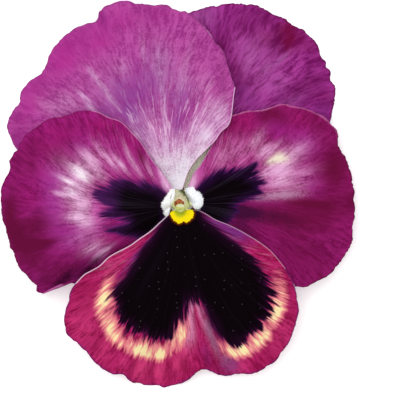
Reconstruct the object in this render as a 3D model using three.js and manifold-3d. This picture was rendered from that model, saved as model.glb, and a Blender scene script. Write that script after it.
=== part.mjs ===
// A pansy bloom, picked with a short stalk and lying face up on a flat surface.
//
// Millimetres, +Z up. While it is being made, the throat of the bloom is at the origin and the
// bloom faces +Z, with its lower petal towards -Y. At the end the whole bloom is moved so that the
// middle of its bounding box is over the origin and the surface it lies on is z = 0.

import * as THREE from 'three';
import { mergeVertices } from 'three/addons/utils/BufferGeometryUtils.js';
import Module from 'manifold-3d';

const wasm = await Module();
wasm.setup();

// ---- Driving sizes ---------------------------------------------------------------------------

const FLOOR = -9;              // the surface it lies on, below the throat

// The face that all five petals follow: it rises a little round the throat, then falls away.
const FACE_RADIUS = 45;
const FACE_RISE = 8;
const FACE_FALL = 13;
const SAGS = [                 // where the petals droop on to the surface
  { x: -43, y: 20, depth: 4.6, spread: 13 },
  { x: 38, y: 27, depth: 2.4, spread: 14 },
  { x: -3, y: -47, depth: 5.4, spread: 17 },
];

const PETAL_THICKNESS = 0.7;
const COLUMNS = 32;            // steps across a petal
const ROWS = 10;               // steps from its claw to its outer edge
const CLAW_ROWS = 3;           // steps down the claw, into the throat
const ROW_CROWDING = 1.2;      // above 1 puts more rows near the claw

const RECEPTACLE = { x: -0.3, y: 1.2 };
const ROOT_RING = 2.35;        // radius of the ring that the petals' claws stand on
const ROOT_HEIGHT = -5;
const ROOT_WIDTH = 1.6;
const SEAT_GAP = 0.3;

const SPUR_RING = 12;          // sides of the spur
const SEPAL_THICKNESS = 0.6;
const SEPAL_ANGLES = { top: 90, left: 158, lower_left: 226, lower_right: 314, right: 22 };

const STALK_RADIUS = 0.9;
const STALK_CLEARANCE = 0.05;  // between the stalk and the surface
const STALK_SIDES = 10;
const STALK_STEPS = 24;
const STIGMA_RADIUS = 1.05;
const ANTHERS = 5;

// ---- Colours ---------------------------------------------------------------------------------

const finish = (color, roughness) => new THREE.MeshStandardMaterial({ color, roughness, metalness: 0 });
const LILAC = finish('#b4569c', 0.7);
const PLUM = finish('#8a2f78', 0.7);
const MAGENTA = finish('#9c1f66', 0.7);
const GREEN = finish('#6f8f45', 0.6);
const CREAM = finish('#d8cf8e', 0.6);

// ---- Petal outlines --------------------------------------------------------------------------
// Seen from the front, in millimetres from the throat. A petal's columns run clockwise, from its
// first edge to its second. Each edge starts at the claw, and the outer edge joins their far ends.
// Front is how far the petal stands before the common face, at its first and its second edge, with
// the change between the two shares of its width in blend. A fold is a ridge, or a valley where its
// height is below zero, that widens from the claw to the outer edge. Ruffle gives the waves along the
// outer edge: how many, how high, and how far round they are shifted, in turns.

const PETALS = {
  petal_upper_right: {
    material: PLUM,
    rootAngle: 60,
    front: [-1.3, -1.3],
    blend: [0, 1],
    first: [[0.5, 3.5], [0.4, 6.5], [-1, 12], [-3, 22], [-6, 34], [-8, 40]],
    second: [
      [2.5, 3.4], [3.6, 5.6], [6, 8], [11, 10], [18, 11], [26, 10.5], [32, 12.5], [36, 17.3],
    ],
    outer: [
      [-8, 40], [-5.5, 45.2], [-1.8, 47.3], [2, 48], [6.5, 49.3], [12.5, 50], [17, 49.8], [20, 49],
      [22, 47.5], [24, 46.8], [27, 44.8], [31.3, 42.8], [33.8, 39], [34.8, 36.5], [35.8, 35.6],
      [35.8, 34.2], [36.8, 33.2], [37, 31], [38, 29.5], [38.3, 27.8], [38, 25.5], [37, 20.3],
      [36, 17.3],
    ],
    folds: [
      { at: 0.42, width: 0.07, height: 1.2 }, { at: 0.58, width: 0.06, height: -1.0 },
      { at: 0.72, width: 0.05, height: -0.8 }, { at: 0.12, width: 0.1, height: -1.0 },
    ],
    ruffle: { count: 6, height: 0.8, shift: 0.3 },
  },
  petal_side_right: {
    material: MAGENTA,
    rootAngle: -5,
    front: [0, 0],
    blend: [0, 1],
    first: [
      [2.6, 1.9], [1.5, 3.6], [2, 5.5], [3, 7.8], [4.5, 9.6], [6.8, 13.6], [10.2, 19.4], [12.5, 22.2],
    ],
    second: [
      [2.9, -1.3], [4.4, -2.3], [6.2, -4.6], [9.5, -9], [14.5, -14.5], [20.8, -19.2], [25.8, -21],
    ],
    outer: [
      [12.5, 22.2], [17, 23.3], [20, 23.5], [23.3, 24.5], [25.5, 25], [27, 24.5], [30.3, 24],
      [34, 22.5], [37.3, 20], [38.8, 17.8], [39.5, 14.8], [41.3, 11], [42.5, 6], [43, 3.5],
      [42.8, 1.7], [43.3, -1.5], [42.8, -6], [42.3, -10.3], [39.5, -14.5], [36.5, -18],
      [33.6, -19.2], [30.8, -20.9], [28.4, -20.6], [25.8, -21],
    ],
    folds: [
      { at: 0.3, width: 0.06, height: 1.1 }, { at: 0.5, width: 0.07, height: -0.9 },
      { at: 0.66, width: 0.06, height: 1.0 }, { at: 0.8, width: 0.05, height: -0.9 },
    ],
    ruffle: { count: 6, height: 0.8, shift: 0 },
    beard: new THREE.Vector3(3.6, 1.4, 0.6),
  },
  petal_upper_left: {
    material: LILAC,
    rootAngle: 118,
    front: [1.3, 1.3],
    blend: [0, 1],
    first: [[-2.1, 3.8], [-8, 6.5], [-16, 9], [-25, 10], [-33, 10], [-39, 12]],
    second: [
      [0.1, 3.8], [1, 6.5], [1.8, 8.5], [3.5, 11], [5.8, 13.3], [8.3, 15.8], [9.8, 18], [11.5, 19.5],
      [12.3, 21.5], [13, 27.3], [13.3, 29],
    ],
    outer: [
      [-39, 12], [-41.3, 13.8], [-43, 16.5], [-43.8, 19.3], [-43, 22], [-40.6, 25.8], [-40.2, 28.5],
      [-37.8, 31], [-35.5, 32.5], [-33.8, 34.6], [-33.2, 37.3], [-30.5, 41], [-28, 43], [-24, 45.2],
      [-21.5, 45.6], [-20.6, 48.4], [-17, 50.2], [-14.3, 50.7], [-9.5, 49.8], [-4.3, 49.5],
      [-0.4, 47.9], [0.8, 48.1], [3.3, 46.3], [5.3, 44.5], [7.5, 41.5], [10.2, 38], [11.5, 34.3],
      [13.3, 29],
    ],
    folds: [
      { at: 0.36, width: 0.05, height: 1.2 }, { at: 0.45, width: 0.03, height: -1.2 },
      { at: 0.58, width: 0.05, height: 1.0 }, { at: 0.7, width: 0.05, height: -0.7 },
      { at: 0.85, width: 0.06, height: 1.0 }, { at: 0.12, width: 0.1, height: -0.6 },
    ],
    ruffle: { count: 7, height: 0.9, shift: 0.15 },
  },
  petal_side_left: {
    material: MAGENTA,
    rootAngle: 185,
    front: [0.3, 2.7],
    blend: [0.1, 0.55],
    first: [[-2.9, -1.6], [-4.3, -3.4], [-6.8, -9], [-11, -15.5], [-16, -20], [-20.5, -22]],
    second: [
      [-3, 1.6], [-2.3, 3.3], [-3.1, 5.1], [-5.5, 8.5], [-7.5, 11], [-10.3, 15.5], [-12, 17.3],
      [-13.8, 19.3], [-15.5, 20.7], [-18.5, 21.7], [-20.5, 22.8], [-22.5, 23.3],
    ],
    outer: [
      [-20.5, -22], [-26.8, -20.3], [-30.5, -20.5], [-33.5, -21.8], [-35, -22.5], [-36.1, -21.8],
      [-36.4, -20.2], [-38.8, -18.3], [-40.3, -16.8], [-41.5, -14.5], [-43, -9.8], [-44.7, -2],
      [-45.3, 1.3], [-44.7, 5], [-43.1, 8.4], [-43, 11], [-41, 13.8], [-39.3, 17], [-36, 19.3],
      [-33, 21.3], [-30, 21.8], [-27.5, 22.5], [-25, 23.3], [-22.5, 23.3],
    ],
    folds: [
      { at: 0.22, width: 0.05, height: -0.9 }, { at: 0.36, width: 0.06, height: 0.9 },
      { at: 0.52, width: 0.05, height: -0.8 }, { at: 0.68, width: 0.06, height: 1.0 },
      { at: 0.9, width: 0.06, height: 0.7 },
    ],
    ruffle: { count: 6, height: 0.8, shift: 0.5 },
    beard: new THREE.Vector3(-4.4, 0.4, 2.6),
  },
  petal_lower: {
    material: MAGENTA,
    rootAngle: 270,
    front: [1.3, 2],
    blend: [0.1, 0.9],
    first: [
      [2.8, -1.7], [4, -1.5], [5.8, -2.3], [8.3, -3.8], [12, -5.3], [17, -8], [22, -11.5], [25.8, -16],
    ],
    second: [
      [-2.8, -2.1], [-5.5, -4.5], [-8, -6.8], [-10.5, -8.5], [-13, -10.3], [-18, -13], [-20.5, -15.3],
      [-22.5, -16.5], [-24.3, -17.5], [-26.5, -19.8],
    ],
    outer: [
      [25.8, -16], [28, -20.3], [29, -25.3], [28.5, -29.5], [27, -34], [24.5, -37.8], [21.5, -40.5],
      [18.3, -42], [14.5, -42.6], [9.3, -42.8], [7.5, -42], [5.8, -41.4], [4.3, -41.8], [0.8, -44.3],
      [-3.8, -45.8], [-7, -45.2], [-9.5, -45.3], [-13, -44.2], [-15, -42.4], [-17, -42.5],
      [-20.5, -40.5], [-22.5, -38.5], [-24.3, -36.3], [-28.5, -32.5], [-29.5, -29.3], [-29, -26.5],
      [-28.2, -24], [-27.6, -21.5], [-26.5, -19.8],
    ],
    folds: [
      { at: 0.27, width: 0.05, height: 0.8 }, { at: 0.37, width: 0.05, height: -1.3 },
      { at: 0.46, width: 0.035, height: 1.5 }, { at: 0.58, width: 0.05, height: -0.7 },
      { at: 0.7, width: 0.05, height: 0.7 }, { at: 0.82, width: 0.05, height: -0.5 },
      { at: 0.93, width: 0.05, height: 0.6 },
    ],
    ruffle: { count: 6, height: 0.9, shift: 0.2 },
  },
};

const BEARD = { height: 1, spread: 2 };
const FOLD_START = 0.12;       // share of a petal's length where its folds begin
const RUFFLE_START = 0.55;     // and where the waves of its outer edge begin
const RUFFLE_MARGIN = 0.16;    // share of its width, at each side, over which the waves die out

// ---- Curves and surfaces ---------------------------------------------------------------------

const mix = (a, b, t) => a + (b - a) * t;
const smoothstep = (from, to, x) => THREE.MathUtils.smoothstep(x, from, to);
const radians = THREE.MathUtils.degToRad;

// A smooth curve through plan points, at a share t of its length along the chords.
function onCurve(points, t) {
  const at = [0];
  for (let i = 1; i < points.length; i++) {
    at.push(at[i - 1] + Math.hypot(points[i][0] - points[i - 1][0], points[i][1] - points[i - 1][1]));
  }
  const last = points.length - 1;
  const s = t * at[last];
  let i = 0;
  while (i < last - 1 && s > at[i + 1]) i++;
  const slope = (k, axis) => {
    const [a, b] = [Math.max(k - 1, 0), Math.min(k + 1, last)];
    return (points[b][axis] - points[a][axis]) / (at[b] - at[a]);
  };
  const h = at[i + 1] - at[i];
  const q = (s - at[i]) / h;
  return [0, 1].map((axis) => {
    const between = mix(points[i][axis], points[i + 1][axis], q * q * (3 - 2 * q));
    const leaving = (q ** 3 - 2 * q ** 2 + q) * slope(i, axis);
    const arriving = (q ** 3 - q ** 2) * slope(i + 1, axis);
    return between + h * (leaving + arriving);
  });
}

// The plan point of a petal at u across and v along: a patch filled in from its four edges.
function planPoint(petal, u, v) {
  const first = onCurve(petal.first, v);
  const second = onCurve(petal.second, v);
  const outer = onCurve(petal.outer, u);
  const [near, far] = [petal.first, petal.second];
  return [0, 1].map((axis) => {
    const claw = mix(near[0][axis], far[0][axis], u);
    const corners = mix(claw, mix(near.at(-1)[axis], far.at(-1)[axis], u), v);
    return mix(first[axis], second[axis], u) + mix(claw, outer[axis], v) - corners;
  });
}

function faceHeight(x, y) {
  const r = Math.hypot(x, y) / FACE_RADIUS;
  let z = FACE_RISE * r - FACE_FALL * r * r;
  for (const sag of SAGS) {
    z -= sag.depth * Math.exp(-((x - sag.x) ** 2 + (y - sag.y) ** 2) / sag.spread ** 2);
  }
  return z;
}

function bladePoint(petal, u, v) {
  const [x, y] = planPoint(petal, u, v);
  let z = faceHeight(x, y) + mix(...petal.front, smoothstep(...petal.blend, u));
  for (const fold of petal.folds) {
    z += fold.height * Math.exp(-(((u - fold.at) / fold.width) ** 2)) * smoothstep(FOLD_START, 1, v);
  }
  const { count, height, shift } = petal.ruffle;
  const fade = smoothstep(0, RUFFLE_MARGIN, u) * smoothstep(0, RUFFLE_MARGIN, 1 - u);
  z += height * Math.sin(2 * Math.PI * (count * u + shift)) * fade * smoothstep(RUFFLE_START, 1, v);
  return new THREE.Vector3(x, y, Math.max(z, FLOOR + PETAL_THICKNESS / 2));
}

// The claw bends from the blade down to its root on the receptacle; t is 0 at the root.
function clawPoint(petal, u, t) {
  const top = bladePoint(petal, u, 0);
  const angle = radians(petal.rootAngle);
  const across = (0.5 - u) * ROOT_WIDTH;
  const root = new THREE.Vector3(
    RECEPTACLE.x + ROOT_RING * Math.cos(angle) - across * Math.sin(angle),
    RECEPTACLE.y + ROOT_RING * Math.sin(angle) + across * Math.cos(angle),
    ROOT_HEIGHT,
  );
  const bend = new THREE.Vector3(root.x, root.y, top.z - 0.5);
  return new THREE.QuadraticBezierCurve3(root, bend, top).getPoint(t);
}

// A closed sheet of even thickness about a grid of points, split alike on both of its faces.
// Lift says how much further its front stands out at a point.
function sheetGeometry(grid, thickness, lift = () => 0) {
  const rows = grid.length;
  const columns = grid[0].length;
  const positions = [];
  const step = (j, i, dj, di) => {
    const clamp = (k, count) => Math.min(Math.max(k, 0), count - 1);
    const ahead = grid[clamp(j + dj, rows)][clamp(i + di, columns)];
    return ahead.clone().sub(grid[clamp(j - dj, rows)][clamp(i - di, columns)]);
  };
  for (const side of [1, -1]) {
    for (let j = 0; j < rows; j++) {
      for (let i = 0; i < columns; i++) {
        const normal = step(j, i, 0, 1).cross(step(j, i, 1, 0)).normalize();
        const extra = side > 0 ? lift(grid[j][i]) : 0;
        const point = grid[j][i].clone().addScaledVector(normal, side * thickness / 2 + extra);
        positions.push(point.x, point.y, Math.max(point.z, FLOOR));
      }
    }
  }
  const index = [];
  const front = (j, i) => j * columns + i;
  const back = (j, i) => rows * columns + front(j, i);
  for (let j = 0; j < rows - 1; j++) {
    for (let i = 0; i < columns - 1; i++) {
      index.push(front(j, i), front(j, i + 1), front(j + 1, i + 1));
      index.push(front(j, i), front(j + 1, i + 1), front(j + 1, i));
      index.push(back(j, i), back(j + 1, i + 1), back(j, i + 1));
      index.push(back(j, i), back(j + 1, i), back(j + 1, i + 1));
    }
  }
  const rim = [];
  for (let i = 0; i < columns; i++) rim.push([0, i]);
  for (let j = 1; j < rows; j++) rim.push([j, columns - 1]);
  for (let i = columns - 2; i >= 0; i--) rim.push([rows - 1, i]);
  for (let j = rows - 2; j > 0; j--) rim.push([j, 0]);
  rim.forEach(([j, i], k) => {
    const [nj, ni] = rim[(k + 1) % rim.length];
    index.push(front(j, i), back(j, i), back(nj, ni));
    index.push(front(j, i), back(nj, ni), front(nj, ni));
  });
  return indexedGeometry(positions, index);
}

function indexedGeometry(positions, index) {
  const geometry = new THREE.BufferGeometry();
  geometry.setAttribute('position', new THREE.Float32BufferAttribute(positions, 3));
  geometry.setIndex(index);
  return geometry;
}

// A closed solid lofted through rings of points, with its two ends capped.
function loftGeometry(rings) {
  const sides = rings[0].length;
  const positions = [];
  const index = [];
  for (const ring of rings) {
    for (const point of ring) positions.push(point.x, point.y, point.z);
  }
  for (let j = 0; j < rings.length - 1; j++) {
    for (let i = 0; i < sides; i++) {
      const k = (i + 1) % sides;
      const [a, b] = [j * sides, (j + 1) * sides];
      index.push(a + i, a + k, b + k, a + i, b + k, b + i);
    }
  }
  const top = (rings.length - 1) * sides;
  for (let i = 1; i < sides - 1; i++) {
    index.push(0, i + 1, i);
    index.push(top, top + i, top + i + 1);
  }
  return indexedGeometry(positions, index);
}

// ---- Joining ---------------------------------------------------------------------------------

function toManifold(geometry) {
  const plain = geometry.clone();
  plain.deleteAttribute('normal');
  plain.deleteAttribute('uv');
  const merged = mergeVertices(plain, 1e-5);
  return new wasm.Manifold(new wasm.Mesh({
    numProp: 3,
    vertProperties: new Float32Array(merged.attributes.position.array),
    triVerts: new Uint32Array(merged.index.array),
  }));
}

function join(...geometries) {
  const mesh = geometries.map(toManifold).reduce((whole, piece) => whole.add(piece)).getMesh();
  return indexedGeometry(Array.from(mesh.vertProperties), Array.from(mesh.triVerts));
}

function named(name, geometry, material) {
  const mesh = new THREE.Mesh(geometry, material);
  mesh.name = name;
  return mesh;
}

// ---- Petals ----------------------------------------------------------------------------------

function petalGeometry(petal) {
  const grid = [];
  for (let j = 0; j < CLAW_ROWS + ROWS + 1; j++) {
    const row = [];
    for (let i = 0; i <= COLUMNS; i++) {
      const u = i / COLUMNS;
      const inClaw = j < CLAW_ROWS;
      const along = ((j - CLAW_ROWS) / ROWS) ** ROW_CROWDING;
      row.push(inClaw ? clawPoint(petal, u, j / CLAW_ROWS) : bladePoint(petal, u, along));
    }
    grid.push(row);
  }
  const { beard } = petal;
  const lift = (point) => (
    beard ? BEARD.height * Math.exp(-point.distanceToSquared(beard) / BEARD.spread ** 2) : 0
  );
  return sheetGeometry(grid, PETAL_THICKNESS, lift);
}

// The nectar spur is a sac behind the lower petal's claw. It ends in the small flat spot that the
// bloom's weight rests on.
function spurGeometry() {
  const stations = [
    { y: -4.6, z: FLOOR, radius: 1.3 }, { y: -4.6, z: FLOOR + 0.6, radius: 1.65 },
    { y: -4.5, z: -6.6, radius: 1.8 }, { y: -4.2, z: -4, radius: 1.7 },
    { y: -3.8, z: -1.4, radius: 1.9 }, { y: -3.7, z: 2, radius: 2.1 },
  ];
  return loftGeometry(stations.map(({ y, z, radius }) => {
    const ring = [];
    for (let i = 0; i < SPUR_RING; i++) {
      const angle = (2 * Math.PI * i) / SPUR_RING;
      ring.push(new THREE.Vector3(radius * Math.cos(angle), y + radius * Math.sin(angle), z));
    }
    return ring;
  }));
}

// ---- Calyx and stalk -------------------------------------------------------------------------

// A sepal follows a line in the upright plane through the receptacle's middle, from the tip of the
// ear below its seat, past the seat, and out behind the petals. Each station is the distance out,
// the height and half the width there.
function sepalGeometry(angleDegrees) {
  const stations = [
    [4.5, -8.1, 0.5], [4.1, -7.5, 1], [3.6, -6.7, 1.15], [3.65, -5.8, 1.2], [4.4, -4.8, 1.5],
    [6, -3.9, 2], [8.4, -3.2, 2.15], [10.6, -2.9, 1.7], [12.4, -2.9, 1], [13.8, -3.1, 0.35],
  ];
  const columns = 4;
  const keel = 0.35;            // how far its middle line stands below its edges
  const angle = radians(angleDegrees);
  const grid = stations.map(([out, height, half]) => {
    const row = [];
    for (let i = 0; i <= columns; i++) {
      const across = 1 - (2 * i) / columns;
      const drop = keel * (1 - across * across) * half / 2;
      row.push(new THREE.Vector3(
        RECEPTACLE.x + out * Math.cos(angle) - across * half * Math.sin(angle),
        RECEPTACLE.y + out * Math.sin(angle) + across * half * Math.cos(angle),
        height - drop,
      ));
    }
    return row;
  });
  return sheetGeometry(grid, SEPAL_THICKNESS);
}

// The stalk leaves the back of the receptacle, hooks round beside the spur and lies on the surface.
function stalkGeometry() {
  const level = FLOOR + STALK_RADIUS + STALK_CLEARANCE;
  const route = new THREE.CatmullRomCurve3([
    new THREE.Vector3(RECEPTACLE.x, RECEPTACLE.y, -5.9),
    new THREE.Vector3(0.5, 2.4, -7.4),
    new THREE.Vector3(2.2, 4.9, level),
    new THREE.Vector3(4.9, 6.5, level),
    new THREE.Vector3(7.6, 5.2, level),
    new THREE.Vector3(8.5, 1.5, level),
    new THREE.Vector3(7.8, -5, level),
    new THREE.Vector3(6, -14, level),
    new THREE.Vector3(4.5, -23, level),
    new THREE.Vector3(4.2, -30, level),
  ]);
  const section = new THREE.Shape();
  section.absarc(0, 0, STALK_RADIUS, 0, 2 * Math.PI);
  const stem = new THREE.ExtrudeGeometry(section, {
    curveSegments: STALK_SIDES / 2, steps: STALK_STEPS, bevelEnabled: false, extrudePath: route,
  });
  const profile = [
    [0, -6.9], [1, -6.9], [2.7, -6.3], [3.05, -5.7], [2.95, ROOT_HEIGHT - SEAT_GAP],
    [1.75, ROOT_HEIGHT - 0.1], [1.65, -3.9], [0, -3.6],
  ];
  const receptacle = new THREE.LatheGeometry(profile.map(([r, z]) => new THREE.Vector2(r, z)), 16);
  receptacle.rotateX(Math.PI / 2);
  receptacle.translate(RECEPTACLE.x, RECEPTACLE.y, 0);
  return join(stem, receptacle, ...[1, -1].map(bractGeometry));
}

// One of a pair of small pointed bracts that stand out from the stalk.
function bractGeometry(side) {
  const bract = new THREE.ConeGeometry(0.5, 3.2, 6);
  bract.scale(1, 1, 0.6);
  bract.rotateZ(-side * radians(62));
  bract.translate(7 + side * 1.7, -8.4, FLOOR + STALK_RADIUS);
  return bract;
}

// ---- Pistil and anthers ----------------------------------------------------------------------

function pistilGeometry() {
  const ovary = new THREE.SphereGeometry(1, 10, 6);
  ovary.scale(0.65, 0.65, 1.3);
  ovary.translate(RECEPTACLE.x, RECEPTACLE.y, -1.9);
  const route = new THREE.CatmullRomCurve3([
    new THREE.Vector3(RECEPTACLE.x, RECEPTACLE.y, -1.2),
    new THREE.Vector3(-0.35, 1, 0.6),
    new THREE.Vector3(-0.4, 0.3, 2.2),
    new THREE.Vector3(-0.4, -0.9, 3.4),
  ]);
  const section = new THREE.Shape();
  section.absarc(0, 0, 0.33, 0, 2 * Math.PI);
  const style = new THREE.ExtrudeGeometry(section, {
    curveSegments: 4, steps: 8, bevelEnabled: false, extrudePath: route,
  });
  const stigma = new THREE.SphereGeometry(STIGMA_RADIUS, 10, 8);
  stigma.translate(-0.4, -1, 3.5);
  return join(ovary, style, stigma);
}

// The anthers stand round the pistil and lean together at their tips.
function antherGeometry(k) {
  const anther = new THREE.SphereGeometry(1, 8, 6);
  anther.scale(0.55, 0.26, 2.2);
  anther.rotateX(radians(5));
  anther.translate(0, -1.27, -1.1);
  anther.rotateZ(radians(180 + (360 * k) / ANTHERS));
  anther.translate(RECEPTACLE.x, RECEPTACLE.y, 0);
  return anther;
}

// ---- The bloom -------------------------------------------------------------------------------

const bloom = new THREE.Group();
for (const [name, petal] of Object.entries(PETALS)) {
  const blade = petalGeometry(petal);
  bloom.add(named(name, name === 'petal_lower' ? join(blade, spurGeometry()) : blade, petal.material));
}
for (const [name, angle] of Object.entries(SEPAL_ANGLES)) {
  bloom.add(named(`sepal_${name}`, sepalGeometry(angle), GREEN));
}
bloom.add(named('stalk', stalkGeometry(), GREEN));
bloom.add(named('pistil', pistilGeometry(), CREAM));
for (let k = 0; k < ANTHERS; k++) {
  bloom.add(named(`anther_${k + 1}`, antherGeometry(k), CREAM));
}

const box = new THREE.Box3().setFromObject(bloom);
const middle = box.getCenter(new THREE.Vector3());
bloom.position.set(-middle.x, -middle.y, -box.min.z);

export default bloom;
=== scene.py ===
"""A picked pansy bloom, lying face up on a pale surface and seen from straight above."""

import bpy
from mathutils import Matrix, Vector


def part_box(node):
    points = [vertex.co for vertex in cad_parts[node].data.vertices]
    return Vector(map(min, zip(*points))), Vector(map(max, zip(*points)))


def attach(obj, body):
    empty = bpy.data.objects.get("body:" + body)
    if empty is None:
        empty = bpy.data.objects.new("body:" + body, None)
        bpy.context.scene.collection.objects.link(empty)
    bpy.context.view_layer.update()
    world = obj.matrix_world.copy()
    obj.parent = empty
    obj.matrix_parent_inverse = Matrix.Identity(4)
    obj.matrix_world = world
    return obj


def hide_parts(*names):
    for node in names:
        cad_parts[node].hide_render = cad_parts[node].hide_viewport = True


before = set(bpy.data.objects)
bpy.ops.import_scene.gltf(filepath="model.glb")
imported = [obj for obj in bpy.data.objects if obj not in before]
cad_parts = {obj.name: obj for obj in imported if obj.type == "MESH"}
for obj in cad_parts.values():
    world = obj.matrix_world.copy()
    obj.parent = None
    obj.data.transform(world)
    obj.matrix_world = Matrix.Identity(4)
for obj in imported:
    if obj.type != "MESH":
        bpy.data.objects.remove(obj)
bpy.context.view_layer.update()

import math

import bmesh
import bpy
import numpy as np
from mathutils import Matrix, Vector

# ---- Sizes -----------------------------------------------------------------------------------
# Millimetres from the throat of the bloom: +X right, +Y up and +Z towards the viewer.

MM = 0.001
FLOOR = -9.0                   # the surface that the bloom lies on
CLEAR = 0.02                   # how far pieces stay above it
STIGMA = Vector((-0.4, -1.0, 3.5))
STIGMA_RADIUS = 1.05           # of the pistil's solid, which places the bloom in the frame

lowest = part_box("pistil")[0] / MM
THROAT = Vector((
    lowest.x - STIGMA.x + STIGMA_RADIUS,
    lowest.y - STIGMA.y + STIGMA_RADIUS,
    -FLOOR,
))

FACE_RADIUS = 45.0             # distances from the throat are given as shares of it
FACE_RISE = 8.0                # how the face climbs away from the throat
FACE_FALL = 13.0               # how it droops again towards its margin
SAGS = [(-43, 20, 4.6, 13), (38, 27, 2.4, 14), (-3, -47, 5.4, 17)]  # x, y, depth and spread

SKIN = 0.35                    # thickness of a petal
ACROSS = 260                   # steps across a petal
ALONG = 130                    # steps from its root to its outer edge
CLAW_SHARE = 0.12              # share of them that its claw takes
CROWDING = 1.15                # how much closer the others lie near the claw
FOLD_START = 0.12              # share of the way out at which folds begin
RUFFLE_START = 0.55            # the same for ruffles
RUFFLE_MARGIN = 0.16           # share across in which ruffles fade at each side
CRINKLES = (0.17, 34, 7)       # height, and how many across and along
RIPPLES = (0.05, 90, 12)
NOTCHES = ((0.22, 60), (0.12, 150))  # depth, and how many along the outer edge
CURL_WIDTH = 0.7
PAD_HEIGHT = 0.7               # the swelling of a side petal under its beard
PAD_SPREAD = 1.8
CLAW_BEND = 0.3                # share of the way from its root at which a claw bends
CLAW_DROP = 0.7                # and how far under the blade

RECEPTACLE = Vector((-0.3, 1.2, 0.0))
ROOT_RING = 2.35               # radius of the circle of petal roots on it
ROOT_HEIGHT = -5.0
ROOT_WIDTH = 1.6

# ---- Petal outlines --------------------------------------------------------------------------
# Columns run clockwise, from a petal's first edge to its second. Each of the two starts at the
# claw, and the outer edge joins their far ends.
# root: where the claw stands on the receptacle, in degrees. front: how far the first and the second
# edge stand in front of the face; blend: the shares across between which the one goes over to the
# other. folds: share across, width and height. ruffle: how many waves, how high and how far round.
# curl: how far the first and the second edge are lifted. fan: the direction of the middle vein, and
# how much the other veins bend away from it. pad: the middle of the swelling under a beard.

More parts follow.
